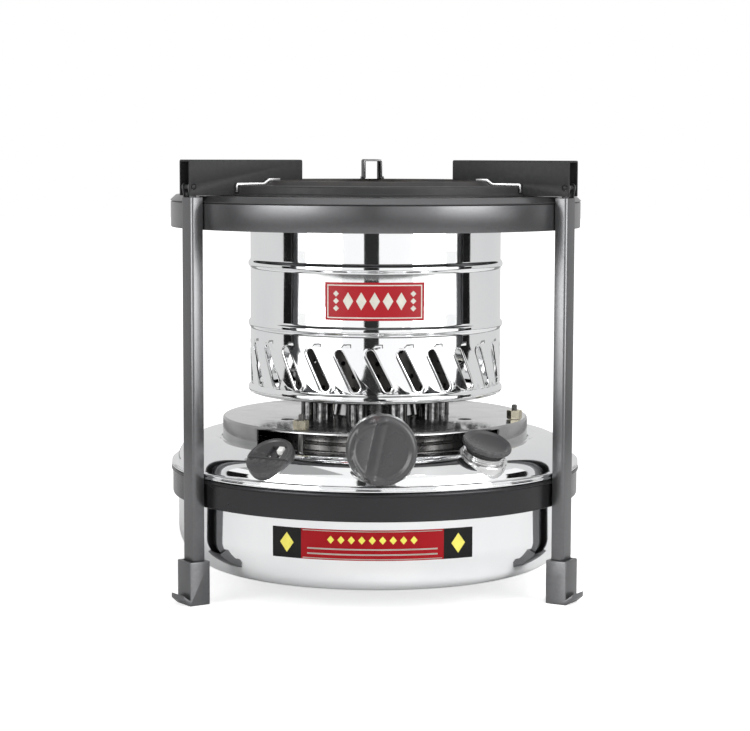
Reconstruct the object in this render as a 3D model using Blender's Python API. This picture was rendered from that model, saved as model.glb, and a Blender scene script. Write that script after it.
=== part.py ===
"""Ten-wick kerosene stove: a chrome tank and drum burner in a painted three-legged frame.

Metres, +Z up. The origin is on the floor, midway between the outermost points of the stove.
The burner's axis is the Z axis, and the control knob faces -Y.
"""
from math import cos, pi, radians, sin, sqrt, tan

import bmesh
import bpy
from mathutils import Matrix, Vector

MM = 0.001
TURN = 2.0 * pi
FRONT = -0.5 * pi

# General clearances, counts and tolerances
clearance = 0.3 * MM
cut_overrun = 2.0 * MM
weld_distance = 0.002 * MM
smooth_angle = radians(32.0)
ring_segments = 28
plate_segments = 24
pipe_segments = 9
pin_segments = 8
bend_steps = 2

# Legs, bent from sheet into a channel that opens towards the burner
leg_angles = (FRONT - radians(57.0), FRONT + radians(57.0), FRONT + pi)
leg_sides = ("left", "right", "rear")
leg_width = 13.0 * MM
leg_depth = 8.2 * MM
leg_wall = 1.2 * MM
leg_bend = 2.0 * MM
leg_top_drop = 0.7 * MM

# Feet
foot_width = 16.4 * MM
foot_height = 28.0 * MM
foot_inner_wall = 3.0 * MM
foot_outer_wall = 3.2 * MM
foot_sole = 3.4 * MM
foot_toe_reach = 4.6 * MM
foot_toe_rise = 4.0 * MM
foot_corner = 1.2 * MM

# Top band: a wall, a rolled shoulder and a flat shelf
top_band_depth = 21.0 * MM
top_band_shoulder_drop = 3.7 * MM
top_band_rise = 15.4 * MM
top_band_shoulder_width = 4.0 * MM
top_shelf_width = 30.0 * MM
band_wall = 1.2 * MM

# Mid band, which carries the tank by its seam
mid_band_inset = 0.6 * MM
mid_band_depth = 17.9 * MM
mid_band_top = 79.7 * MM
mid_band_lip = 1.6 * MM

# Top plate: a stepped ring that lies on the shelf round the flame opening
plate_seat_width = 5.5 * MM
plate_hem = 2.4 * MM
plate_step_rise = 6.6 * MM
plate_crown_rise = 2.7 * MM
plate_step_width = 19.5 * MM
plate_slope_width = 4.0 * MM
plate_crown_width = 9.0 * MM
plate_lip_drop = 3.6 * MM
plate_bend = 1.5 * MM
plate_wall = 1.0 * MM
plate_slot_width = 13.2 * MM
plate_slot_margin = 1.3 * MM

# Pan supports: inverted channels, hinged on the tops of the legs
support_inner_overhang = 16.5 * MM
support_outer_overhang = 1.1 * MM
support_width = 12.6 * MM
support_rise = 22.7 * MM
support_wall = 1.2 * MM
support_bend = 1.4 * MM
support_floor_gap = 0.4 * MM
support_plate_gap = 0.5 * MM
support_step_margin = 2.5 * MM
hinge_end_distance = 3.0 * MM
hinge_rise = 5.8 * MM
hinge_pin_radius = 1.5 * MM
hinge_pin_head = 0.5 * MM
hinge_lug_radius = 2.8 * MM
hinge_lug_wall = 1.2 * MM
hinge_lug_half_span = 4.5 * MM
hinge_lug_foot = 1.5 * MM

# Tank: a pressed base and a pressed top, joined at a rolled seam
tank_side_inset = 0.3 * MM
tank_bottom_height = 14.6 * MM
tank_corner_radius = 26.0 * MM
tank_foot_ring_width = 12.0 * MM
tank_dish_rise = 3.5 * MM
tank_dish_slope = 6.0 * MM
tank_wall = 1.0 * MM
seam_width = 4.0 * MM
seam_height = 3.8 * MM
seam_bend = 1.2 * MM
tank_flange_width = 2.3 * MM
crest_width = 2.0 * MM
shoulder_foot = 0.1 * MM
shoulder_width = 22.0 * MM
shoulder_rise = 16.1 * MM
shoulder_steps = 4
crest_slope_width = 3.8 * MM
well_slope_width = 2.4 * MM
well_bend_drop = 2.6 * MM
well_width = 28.8 * MM
well_depth = 7.0 * MM
tank_neck_gap = 2.0 * MM
tank_neck_drop = 3.0 * MM

# Burner base, its gasket and the round plate over it
gasket_inner_margin = 3.0 * MM
gasket_outer_margin = 3.0 * MM
gasket_thickness = 1.0 * MM
base_flange_margin = 1.6 * MM
base_floor_overlap = 5.0 * MM
base_wall = 1.2 * MM
base_rim_height = 4.3 * MM
base_neck_margin = 5.0 * MM
burner_plate_overlap = 0.4 * MM
burner_plate_rise = 19.0 * MM
burner_plate_wall = 1.2 * MM
burner_plate_bend = 2.0 * MM
burner_skirt_rise = 4.6 * MM
burner_window_share = 0.9
burner_window_angle = radians(99.0)
vent_radius = 4.5 * MM
rod_margin = 4.0 * MM
rod_angles = (FRONT - radians(63.0), FRONT + radians(63.0))
hub_margin = 14.8 * MM
hub_rise = 11.8 * MM
hub_draft = 1.5 * MM

# Studs and nuts that clamp the burner to the tank
stud_margin = 6.2 * MM
stud_angles = (FRONT - radians(31.0), FRONT + radians(72.0), FRONT + radians(195.0))
stud_sides = ("front", "right", "rear")
stud_radius = 1.9 * MM
stud_rise = 10.0 * MM
nut_radius = 4.0 * MM
nut_height = 4.6 * MM

# Wick tubes, wicks and the ring on the tubes' tops
wick_count = 10
wick_circle_radius = 42.8 * MM
tube_radius = 6.5 * MM
tube_wall = 0.8 * MM
tube_plate_inner_margin = 8.8 * MM
tube_plate_outer_margin = 18.2 * MM
tube_plate_wall = 1.2 * MM
tube_rise = 16.5 * MM
wick_radius = 4.8 * MM
wick_floor_gap = 9.4 * MM
wick_rest_depth = 6.0 * MM
flame_ring_drop = 3.5 * MM
flame_ring_wall = 1.2 * MM
flame_ring_rim = 2.0 * MM

# Wick carrier, guide rods and rack
carrier_drop = 15.0 * MM
carrier_wall = 2.0 * MM
carrier_ring_width = 18.0 * MM
carrier_ear_radius = 4.6 * MM
guide_rod_radius = 2.0 * MM
guide_rod_length = 27.0 * MM
rod_head_radius = 3.0 * MM
rod_head_height = 1.5 * MM
rack_module = 1.1 * MM
pinion_teeth = 10
tooth_thinning = 0.4 * MM
tooth_flank_angle = radians(20.0)
tooth_root_share = 1.25
wick_travel = 12.0 * MM
rack_inset = 14.0 * MM
rack_width = 6.0 * MM
rack_back_thickness = 2.6 * MM
rack_top_margin = 3.0 * MM
rack_tab_margin = 2.0 * MM
rack_end_margin = 4.0 * MM

# Control shaft, its bearings and the knob
shaft_drop = 5.2 * MM
shaft_radius = 2.6 * MM
journal_radius = 1.9 * MM
journal_length = 7.0 * MM
bush_radius = 3.7 * MM
bush_length = 9.0 * MM
bush_inner_share = 0.25
bracket_margin = 0.6 * MM
bracket_wall = 1.5 * MM
bracket_width = 17.0 * MM
knob_radius = 21.6 * MM
knob_depth = 19.5 * MM
knob_rim_radius = 3.0 * MM
knob_hollow_depth = 8.0 * MM
knob_wall = 2.4 * MM
knob_hub_radius = 7.0 * MM
knob_face_depth = 7.5 * MM
knob_grip_width = 8.0 * MM
knob_grip_top_width = 4.6 * MM
knob_grip_angle = radians(12.0)
knob_grip_low_reach_share = 0.5
knob_grip_high_reach_share = 1.6
knob_grip_shoulder_share = 0.45
knob_grip_top_share = 0.25
knob_grip_tip_share = 0.6
knob_dish_share = 0.5
knob_face_rim = 1.6 * MM

# Drum: a beaded chrome casing with slanted slots
drum_gap = 29.8 * MM
drum_wall = 0.9 * MM
drum_rise = 2.5 * MM
drum_height = 115.1 * MM
drum_bead_rises = (3.4 * MM, 46.2 * MM, 85.4 * MM)
drum_bead_flat_share = 0.3
drum_bead_height = 6.8 * MM
drum_bead_proud = 1.4 * MM
drum_hem_width = 5.0 * MM
drum_hem_bend_shares = (0.35, 0.1)
drum_flange_bend = 3.0 * MM
drum_segments = 34
slot_count = 26
slot_foot = 8.1 * MM
slot_height = 26.4 * MM
slot_width = 5.4 * MM
slot_lean = radians(27.0)

# Perforated sleeves and what closes and ties them
outer_sleeve_margin = 10.2 * MM
inner_sleeve_margin = 9.4 * MM
sleeve_wall = 0.9 * MM
sleeve_segments = 16
sleeve_flange_width = 9.0 * MM
inner_sleeve_drop = 14.6 * MM
perforation_radius = 3.5 * MM
perforation_rows = 2
outer_perforations = 6
inner_perforations = 4
perforation_rise = 22.5 * MM
perforation_pitch = 36.0 * MM
spreader_rise = 7.0 * MM
spreader_overhang = 2.4 * MM
spreader_wall = 1.0 * MM
spreader_bend_reach_share = 0.55
spreader_bend_rise_share = 0.75
cross_pin_drop = 14.0 * MM
cross_pin_radius = 1.5 * MM
cross_pin_end = 2.0 * MM
cross_pin_count = 3
cross_pin_bore_start_share = 0.3

# Filler and gauge, both on the tank's sloping shoulder
filler_angle = FRONT + radians(32.7)
filler_inset = 12.0 * MM
filler_base_drop = 3.7 * MM
filler_tilt = radians(23.3)
filler_neck_radius = 13.4 * MM
filler_neck_wall = 2.2 * MM
filler_neck_height = 5.8 * MM
filler_neck_drop = 12.0 * MM
filler_collar_drop = 6.5 * MM
filler_collar_radius = 15.4 * MM
filler_collar_height = 1.6 * MM
filler_thread_pitch = 2.4 * MM
filler_thread_depth = 0.9 * MM
filler_thread_crest_shares = (0.35, 0.65)
filler_threads = 1
cap_radius = 16.2 * MM
cap_height = 6.0 * MM
cap_dish = 1.2 * MM
cap_plug_depth = 6.0 * MM
cap_seal_thickness = 1.2 * MM
gauge_angle = FRONT - radians(33.9)
gauge_inset = 13.1 * MM
gauge_base_drop = 8.2 * MM
gauge_tilt = radians(35.0)
gauge_radius = 15.5 * MM
gauge_face_height = 9.5 * MM
gauge_step_depth = 1.6 * MM
gauge_step_offset = 3.0 * MM
gauge_drop = 4.0 * MM
gauge_stem_radius = 5.5 * MM
gauge_stem_length = 20.0 * MM
gauge_rod_radius = 1.1 * MM
gauge_window_width = 5.4 * MM
gauge_window_length = 11.0 * MM
gauge_window_offset = 7.0 * MM
gauge_flag_width = 3.6 * MM
gauge_flag_length = 5.8 * MM
gauge_flag_thickness = 1.2 * MM
float_radius = 9.0 * MM
float_length = 14.0 * MM
float_depth = 32.0 * MM

# Radii, from the wicks out to the legs
tube_plate_inner_radius = wick_circle_radius - tube_plate_inner_margin
tube_plate_outer_radius = wick_circle_radius + tube_plate_outer_margin
rack_front = rack_inset - tube_plate_inner_radius
bracket_position = -tube_plate_inner_radius - bracket_margin
hub_radius = wick_circle_radius - hub_margin
inner_sleeve_radius = wick_circle_radius - inner_sleeve_margin
outer_sleeve_radius = wick_circle_radius + outer_sleeve_margin
drum_radius = outer_sleeve_radius + drum_gap
base_floor_opening = tube_plate_outer_radius - base_floor_overlap
rod_circle_radius = tube_plate_outer_radius + rod_margin
base_neck_radius = rod_circle_radius + base_neck_margin
tank_neck_radius = base_neck_radius + tank_neck_gap
well_radius = tank_neck_radius + well_width
burner_plate_radius = well_radius + burner_plate_overlap
stud_circle_radius = burner_plate_radius - stud_margin
base_flange_radius = stud_circle_radius + base_flange_margin
gasket_inner_radius = tank_neck_radius + gasket_inner_margin
gasket_outer_radius = stud_circle_radius - gasket_outer_margin
well_bend_radius = well_radius + well_slope_width
crest_inner_radius = well_bend_radius + crest_slope_width
shoulder_radius = crest_inner_radius + crest_width + shoulder_width
tank_radius = shoulder_radius - tank_side_inset
tank_flange_radius = shoulder_radius + tank_flange_width
seam_radius = shoulder_radius + seam_width
filler_reach = shoulder_radius - filler_inset
gauge_reach = shoulder_radius - gauge_inset
top_band_radius = seam_radius
mid_band_radius = top_band_radius - mid_band_inset
top_shelf_inner_radius = top_band_radius - top_shelf_width
plate_radius = top_shelf_inner_radius + plate_seat_width
plate_step_inner_radius = plate_radius - plate_step_width
plate_crown_radius = plate_step_inner_radius - plate_slope_width
plate_opening_radius = plate_crown_radius - plate_crown_width
plate_slot_inner_radius = plate_opening_radius + plate_slot_margin
leg_inner_reach = top_band_radius + clearance
leg_outer_reach = leg_inner_reach + leg_depth
foot_inner_reach = leg_inner_reach - foot_inner_wall
foot_outer_reach = leg_outer_reach + foot_outer_wall
stove_reach = foot_outer_reach + foot_toe_reach
support_outer_reach = leg_outer_reach + support_outer_overhang
support_inner_reach = plate_opening_radius - support_inner_overhang
support_step_reach = plate_opening_radius + support_step_margin
hinge_reach = support_outer_reach - hinge_end_distance

# Heights, from the tank up to the pan supports
mid_band_bottom = mid_band_top - mid_band_depth
seam_bottom = mid_band_top + clearance
seam_top = seam_bottom + seam_height
shoulder_height = seam_top + shoulder_foot
crest_height = shoulder_height + shoulder_rise
filler_base_height = crest_height - filler_base_drop
gauge_base_height = crest_height - gauge_base_drop
well_bend_height = crest_height - well_bend_drop
well_height = crest_height - well_depth
gasket_bottom = well_height + clearance
base_bottom = gasket_bottom + gasket_thickness + clearance
base_floor_top = base_bottom + base_wall
burner_skirt_bottom = well_height + burner_skirt_rise
burner_plate_height = well_height + burner_plate_rise
burner_plate_underside = burner_plate_height - burner_plate_wall
base_top = burner_plate_underside - clearance
hub_height = burner_plate_height + hub_rise
stud_height = burner_plate_height + stud_rise
shaft_height = burner_plate_height - shaft_drop
carrier_height = well_height - carrier_drop
guide_rod_bottom = well_height - guide_rod_length
tube_bottom = base_floor_top + clearance
tube_plate_top = tube_bottom + tube_plate_wall
tube_top = burner_plate_height + tube_rise
wick_bottom = tank_bottom_height + wick_floor_gap
wick_top = tube_top - wick_rest_depth
flame_ring_height = tube_top - flame_ring_drop
sleeve_bottom = flame_ring_height + flame_ring_wall + clearance
drum_bottom = flame_ring_height + drum_rise
drum_top = drum_bottom + drum_height
drum_flange_underside = drum_top - drum_wall
drum_bead_heights = tuple(drum_bottom + rise for rise in drum_bead_rises)
slot_bottom = drum_bottom + slot_foot
slot_top = slot_bottom + slot_height
outer_sleeve_top = drum_flange_underside - clearance
inner_sleeve_top = drum_top - inner_sleeve_drop
perforation_start = drum_bottom + perforation_rise
cross_pin_height = inner_sleeve_top - cross_pin_drop
top_band_height = drum_top + top_band_rise
top_band_bottom = top_band_height - top_band_depth
top_band_shoulder_height = top_band_height - top_band_shoulder_drop
leg_top_height = top_band_height - leg_top_drop
plate_step_height = top_band_height + plate_step_rise
plate_crown_height = plate_step_height + plate_crown_rise
support_floor = top_band_height + support_floor_gap
support_height = top_band_height + support_rise
hinge_height = top_band_height + hinge_rise

# Gearing and the knob's place
tooth_pitch = pi * rack_module
pinion_radius = 0.5 * pinion_teeth * rack_module
knob_front = -stove_reach
knob_back = knob_front + knob_depth


def material(name, colour, roughness, metallic):
    """Return the named Principled BSDF material."""
    made = bpy.data.materials.get(name)
    if made is None:
        made = bpy.data.materials.new(name)
        made.use_nodes = True
        shader = made.node_tree.nodes["Principled BSDF"]
        shader.inputs["Base Color"].default_value = (*colour, 1.0)
        shader.inputs["Roughness"].default_value = roughness
        shader.inputs["Metallic"].default_value = metallic
    return made


def frame_paint():
    return material("frame_paint", (0.13, 0.13, 0.135), 0.32, 0.55)


def black_enamel():
    return material("black_enamel", (0.035, 0.035, 0.037), 0.35, 0.0)


def chrome():
    return material("chrome", (0.86, 0.86, 0.87), 0.07, 1.0)


def satin_steel():
    return material("satin_steel", (0.56, 0.56, 0.55), 0.32, 1.0)


def dark_steel():
    return material("dark_steel", (0.10, 0.10, 0.10), 0.4, 0.8)


def brass():
    return material("brass", (0.72, 0.55, 0.26), 0.28, 1.0)


def dark_plastic():
    return material("dark_plastic", (0.075, 0.075, 0.078), 0.42, 0.0)


def rubber():
    return material("rubber", (0.03, 0.03, 0.03), 0.8, 0.0)


def cotton():
    return material("cotton", (0.80, 0.77, 0.68), 0.95, 0.0)


def white_plastic():
    return material("white_plastic", (0.85, 0.85, 0.83), 0.4, 0.0)


def arc(centre, radius, start, end, steps):
    """Points of an arc in the plane of a profile, from angle start to angle end."""
    turns = [start + (end - start) * step / steps for step in range(steps + 1)]
    return [(centre[0] + radius * cos(turn), centre[1] + radius * sin(turn)) for turn in turns]


def rounded(points, radius, steps, closed=False):
    """Round the inner corners of a path, or every corner of a closed outline, with arcs."""
    path = []
    count = len(points)
    for index, corner in enumerate(points):
        if not closed and index in (0, count - 1):
            path.append(corner)
            continue
        here = Vector(corner)
        before = Vector(points[index - 1]) - here
        after = Vector(points[(index + 1) % count]) - here
        half_angle = 0.5 * before.angle(after)
        reach = radius / tan(half_angle)
        centre = here + (before.normalized() + after.normalized()).normalized() * (radius / sin(half_angle))
        first = here + before.normalized() * reach - centre
        last = here + after.normalized() * reach - centre
        sweep = first.angle_signed(last)
        for step in range(steps + 1):
            spoke = first.copy()
            spoke.rotate(Matrix.Rotation(-sweep * step / steps, 2))
            path.append(tuple(centre + spoke))
    return path


def offset(path, distance):
    """The path moved sideways by a distance, to the right of its direction where it is positive."""
    moved = []
    for index, point in enumerate(path):
        here = Vector(point)
        before = here - Vector(path[index - 1]) if index else None
        after = Vector(path[index + 1]) - here if index + 1 < len(path) else None
        sides = [Vector((way.y, -way.x)).normalized() for way in (before, after) if way is not None]
        middle = sum(sides, Vector((0.0, 0.0))).normalized()
        moved.append(tuple(here + middle * (distance / middle.dot(sides[0]))))
    return moved


def skin(path, wall):
    """The closed profile of a sheet whose outer face is the path, with its wall on the right."""
    return path + offset(path, wall)[::-1]


def regular(sides, radius, phase=0.0):
    """The corners of a regular outline."""
    turns = [phase + TURN * side / sides for side in range(sides)]
    return [(radius * cos(turn), radius * sin(turn)) for turn in turns]


def polar(radius, angle, height=0.0):
    return Vector((radius * cos(angle), radius * sin(angle), height))


def revolved(profile, segments):
    """A solid of revolution about Z from a closed profile of radius and height."""
    solid = bmesh.new()
    ring = [solid.verts.new((radius, 0.0, height)) for radius, height in profile]
    edges = [solid.edges.new((ring[index - 1], ring[index])) for index in range(len(ring))]
    bmesh.ops.spin(
        solid, geom=ring + edges, cent=(0.0, 0.0, 0.0), axis=(0.0, 0.0, 1.0),
        angle=TURN, steps=segments, use_merge=True,
    )
    bmesh.ops.remove_doubles(solid, verts=solid.verts, dist=weld_distance)
    bmesh.ops.delete(solid, geom=[edge for edge in solid.edges if edge.is_wire], context="EDGES")
    bmesh.ops.recalc_face_normals(solid, faces=solid.faces)
    return solid


def extruded(outline, start, end):
    """A prism along Z over a closed outline in X and Y."""
    solid = bmesh.new()
    corners = [solid.verts.new((x, y, start)) for x, y in outline]
    base = solid.faces.new(corners)
    raised = bmesh.ops.extrude_face_region(solid, geom=[base])["geom"]
    lifted = [item for item in raised if isinstance(item, bmesh.types.BMVert)]
    bmesh.ops.translate(solid, vec=(0.0, 0.0, end - start), verts=lifted)
    bmesh.ops.recalc_face_normals(solid, faces=solid.faces)
    return solid


def block(low, high):
    """A box between two corners."""
    outline = [(low[0], low[1]), (high[0], low[1]), (high[0], high[1]), (low[0], high[1])]
    return extruded(outline, low[2], high[2])


def rod(radius, start, end, sides=pin_segments):
    return extruded(regular(sides, radius), start, end)


def pipe(outer, inner, start, end, segments):
    return revolved([(inner, start), (outer, start), (outer, end), (inner, end)], segments)


def moved(solid, matrix):
    bmesh.ops.transform(solid, matrix=matrix, verts=solid.verts)
    return solid


def joined(solids):
    """One mesh that holds several separate solids."""
    whole = bmesh.new()
    for solid in solids:
        carrier = bpy.data.meshes.new("carrier")
        solid.to_mesh(carrier)
        solid.free()
        whole.from_mesh(carrier)
        bpy.data.meshes.remove(carrier)
    return whole


def side_plane(half_width):
    """Turns an outline of X and height into a plate that stands across Y."""
    return Matrix.Translation((0.0, half_width, 0.0)) @ Matrix.Rotation(0.5 * pi, 4, "X")


def along_x():
    """Turns a rod along Z into one along X."""
    return Matrix.Rotation(0.5 * pi, 4, "Y")


def along_y():
    """Turns a rod along Z into one along Y."""
    return Matrix.Rotation(-0.5 * pi, 4, "X")


def pivot(name, location=(0.0, 0.0, 0.0), rotation=(0.0, 0.0, 0.0)):
    """An empty that holds a joint's axis or a tilted fitting's frame."""
    empty = bpy.data.objects.new(name, None)
    empty.location = location
    empty.rotation_euler = rotation
    bpy.context.collection.objects.link(empty)
    return empty


def add_part(name, solid, finish, parent=None, turn=0.0):
    """Make a named object from a mesh, shaded smooth up to the sharp edges."""
    mesh = bpy.data.meshes.new(name)
    solid.to_mesh(mesh)
    solid.free()
    mesh.materials.append(finish)
    mesh.shade_smooth()
    mesh.set_sharp_from_angle(angle=smooth_angle)
    part = bpy.data.objects.new(name, mesh)
    part.rotation_euler = (0.0, 0.0, turn)
    part.parent = parent
    bpy.context.collection.objects.link(part)
    return part


def add_copies(names, solid, finish, places, parent=None):
    """Objects that share one mesh, each at its own place."""
    first = add_part(names[0], solid, finish, parent)
    copies = [first] + [bpy.data.objects.new(name, first.data) for name in names[1:]]
    for copy, place in zip(copies, places):
        copy.matrix_local = place
        copy.parent = parent
        if copy is not first:
            bpy.context.collection.objects.link(copy)
    return copies


def add_cutter(name, solid, parent=None, turn=0.0):
    cutter = add_part(name, solid, rubber(), parent, turn)
    cutter.hide_render = True
    cutter.display_type = "WIRE"
    return cutter


def combine(part, other, operation):
    """Cut a part with another object, or unite them, by a Boolean modifier."""
    step = part.modifiers.new(other.name, "BOOLEAN")
    step.operation = operation
    step.solver = "EXACT"
    step.object = other


def channel_outline(inner, outer, width, wall, bend):
    """A channel's section that opens towards -X."""
    half = 0.5 * width
    path = rounded([(inner, -half), (outer, -half), (outer, half), (inner, half)], bend, bend_steps)
    return path + offset(path, -wall)[::-1]


def make_legs():
    """Channels up the outside of the bands, with a cap and two hinge lugs on each top."""
    half = 0.5 * leg_width
    for side, angle in zip(leg_sides, leg_angles):
        section = channel_outline(leg_inner_reach, leg_outer_reach, leg_width, leg_wall, leg_bend)
        leg = add_part("leg_" + side, extruded(section, foot_sole + clearance, leg_top_height),
                       frame_paint(), turn=angle)
        cap_low = (leg_inner_reach + clearance, -half + 0.5 * leg_wall, leg_top_height - leg_wall)
        cap_high = (leg_outer_reach - 0.5 * leg_wall, half - 0.5 * leg_wall, leg_top_height)
        cap = add_cutter("leg_cap_" + side, block(cap_low, cap_high), turn=angle)
        combine(leg, cap, "UNION")
        for sign in (-1.0, 1.0):
            lug = hinge_lug()
            shift = Matrix.Translation((0.0, sign * (hinge_lug_half_span - 0.5 * hinge_lug_wall), 0.0))
            name = "hinge_lug_" + side + ("_a" if sign < 0.0 else "_b")
            plate = add_cutter(name, moved(lug, shift), turn=angle)
            combine(leg, plate, "UNION")


def hinge_lug():
    """A lug with a round head, in the plane of X and Z, centred on Y, with the pin's hole."""
    foot_height_inside = leg_top_height - 0.5 * leg_wall
    head = arc((hinge_reach, hinge_height), hinge_lug_radius, 0.0, pi, 3 * bend_steps)
    foot = [(hinge_reach - hinge_lug_radius, foot_height_inside),
            (hinge_reach + hinge_lug_foot, foot_height_inside)]
    outline = head + foot
    hole = arc((hinge_reach, hinge_height), hinge_pin_radius + clearance, 0.0, TURN, pin_segments)[:-1]
    return moved(plate_with_hole(outline, hole, hinge_lug_wall), side_plane(0.5 * hinge_lug_wall))


def plate_with_hole(outline, hole, wall):
    """A plate along Z whose outline has one round hole, bridged between the two loops."""
    solid = bmesh.new()
    loops = []
    for points in (outline, hole):
        ring = [solid.verts.new((x, y, 0.0)) for x, y in points]
        loops.append([solid.edges.new((ring[index - 1], ring[index])) for index in range(len(ring))])
    bmesh.ops.triangle_fill(solid, use_beauty=True, use_dissolve=False, edges=loops[0] + loops[1])
    raised = bmesh.ops.extrude_face_region(solid, geom=list(solid.faces))["geom"]
    lifted = [item for item in raised if isinstance(item, bmesh.types.BMVert)]
    bmesh.ops.translate(solid, vec=(0.0, 0.0, wall), verts=lifted)
    bmesh.ops.recalc_face_normals(solid, faces=solid.faces)
    return solid


def make_feet():
    """Shoes with a sole and a turned-up toe, pushed over the legs' lower ends."""
    half = 0.5 * foot_width
    outline = [
        (foot_inner_reach, 0.0),
        (foot_outer_reach, 0.0),
        (stove_reach, foot_toe_rise),
        (stove_reach, foot_toe_rise + foot_sole),
        (foot_outer_reach, foot_sole),
        (foot_outer_reach, foot_height),
        (foot_inner_reach, foot_height),
    ]
    pocket_width = leg_width + 2.0 * clearance
    pocket = block(
        (leg_inner_reach - clearance, -0.5 * pocket_width, foot_sole),
        (leg_outer_reach + clearance, 0.5 * pocket_width, foot_height + cut_overrun),
    )
    for side, angle in zip(leg_sides, leg_angles):
        body = moved(extruded(outline, 0.0, foot_width), side_plane(half))
        corners = [edge for edge in body.edges
                   if all(abs(vert.co.x - foot_outer_reach) < weld_distance for vert in edge.verts)
                   and abs(edge.verts[0].co.z - edge.verts[1].co.z) > foot_sole]
        bmesh.ops.bevel(body, geom=corners, offset=foot_corner, segments=2, profile=0.5, affect="EDGES")
        foot = add_part("foot_" + side, body, frame_paint(), turn=angle)
        cutter = add_cutter("foot_pocket_" + side, pocket.copy(), turn=angle)
        combine(foot, cutter, "DIFFERENCE")
    pocket.free()


def make_bands():
    """The two hoops that tie the legs."""
    shoulder_inner = top_band_radius - top_band_shoulder_width
    top_path = [
        (top_band_radius, top_band_bottom),
        (top_band_radius, top_band_shoulder_height),
        (shoulder_inner, top_band_height),
        (top_shelf_inner_radius, top_band_height),
    ]
    top_profile = skin(top_path, -band_wall)
    add_part("top_band", revolved(top_profile, ring_segments), frame_paint())
    mid_path = [
        (mid_band_radius - band_wall - mid_band_lip, mid_band_bottom),
        (mid_band_radius, mid_band_bottom),
        (mid_band_radius, mid_band_top),
    ]
    mid_profile = skin(mid_path, -band_wall)
    add_part("mid_band", revolved(mid_profile, ring_segments), frame_paint())


def make_top_plate():
    """The stepped ring round the flame opening, with a hem that rests on the top band's shelf."""
    hem_height = top_band_height + clearance + plate_wall
    path = [
        (plate_radius + plate_hem, hem_height),
        (plate_radius, hem_height),
        (plate_radius, plate_step_height - plate_bend),
        (plate_radius - plate_bend, plate_step_height),
        (plate_step_inner_radius, plate_step_height),
        (plate_crown_radius, plate_crown_height),
        (plate_opening_radius, plate_crown_height),
        (plate_opening_radius, plate_crown_height - plate_lip_drop),
    ]
    plate = add_part("top_plate", revolved(skin(path, -plate_wall), ring_segments), black_enamel())
    half = 0.5 * plate_slot_width
    low = (plate_slot_inner_radius, -half, top_band_height)
    high = (plate_radius + plate_hem + cut_overrun, half, plate_crown_height + cut_overrun)
    slots = [moved(block(low, high), Matrix.Rotation(angle, 4, "Z")) for angle in leg_angles]
    combine(plate, add_cutter("plate_slots", joined(slots)), "DIFFERENCE")


def support_outline():
    """The side of a pan support about its hinge: it drops into the plate's slot and steps over its edge."""
    step_floor = plate_crown_height + support_plate_gap
    points = [
        (support_outer_reach, support_floor),
        (support_outer_reach, support_height),
        (support_inner_reach, support_height),
        (support_inner_reach, step_floor),
        (support_step_reach, step_floor),
        (support_step_reach, support_floor),
    ]
    return [(reach - hinge_reach, height - hinge_height) for reach, height in points]


def make_pan_supports():
    """Inverted channels that fold up and back about their hinges."""
    half = 0.5 * support_width
    inner_half = half - support_wall
    for side, angle in zip(leg_sides, leg_angles):
        hinge = pivot("hinge_" + side, polar(hinge_reach, angle, hinge_height), (0.0, 0.0, angle))
        solid = moved(extruded(support_outline(), 0.0, support_width), side_plane(half))
        top = support_height - hinge_height
        edges = [edge for edge in solid.edges
                 if all(abs(vert.co.z - top) < weld_distance for vert in edge.verts)
                 and abs(edge.verts[0].co.x - edge.verts[1].co.x) > support_width]
        bmesh.ops.bevel(solid, geom=edges, offset=support_bend, segments=bend_steps, profile=0.5,
                        affect="EDGES")
        support = add_part("pan_support_" + side, solid, black_enamel(), hinge)
        low = (support_inner_reach - hinge_reach - cut_overrun, -inner_half,
               support_floor - hinge_height - cut_overrun)
        high = (support_outer_reach - hinge_reach + cut_overrun, inner_half, top - support_wall)
        combine(support, add_cutter("support_inside_" + side, block(low, high), hinge), "DIFFERENCE")
        bore = moved(rod(hinge_pin_radius + clearance, -half - cut_overrun, half + cut_overrun), along_y())
        combine(support, add_cutter("support_bore_" + side, bore, hinge), "DIFFERENCE")


def make_hinge_pins():
    """The three rivets through the lugs and the supports."""
    reach = 0.5 * support_width + hinge_pin_head
    places = [Matrix.Translation(polar(hinge_reach, angle, hinge_height))
              @ Matrix.Rotation(angle, 4, "Z") @ along_y() for angle in leg_angles]
    names = ["hinge_pin_" + side for side in leg_sides]
    add_copies(names, rod(hinge_pin_radius, -reach, reach), satin_steel(), places)


def tank_top_path():
    """The outer face of the tank's top, from the seam up over the crest and down to the neck."""
    seam = [
        (mid_band_radius - band_wall, seam_bottom),
        (seam_radius, seam_bottom),
        (seam_radius, seam_top - seam_bend),
        (seam_radius - seam_bend, seam_top),
    ]
    rise = []
    for step in range(shoulder_steps + 1):
        turn = 0.5 * pi * step / shoulder_steps
        reach = shoulder_radius - shoulder_width * (1.0 - cos(turn))
        rise.append((reach, shoulder_height + shoulder_rise * sin(turn)))
    well = [
        (crest_inner_radius, crest_height),
        (well_bend_radius, well_bend_height),
        (well_radius, well_height),
        (tank_neck_radius, well_height),
        (tank_neck_radius, well_height - tank_neck_drop),
    ]
    return seam + rise + well


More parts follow.
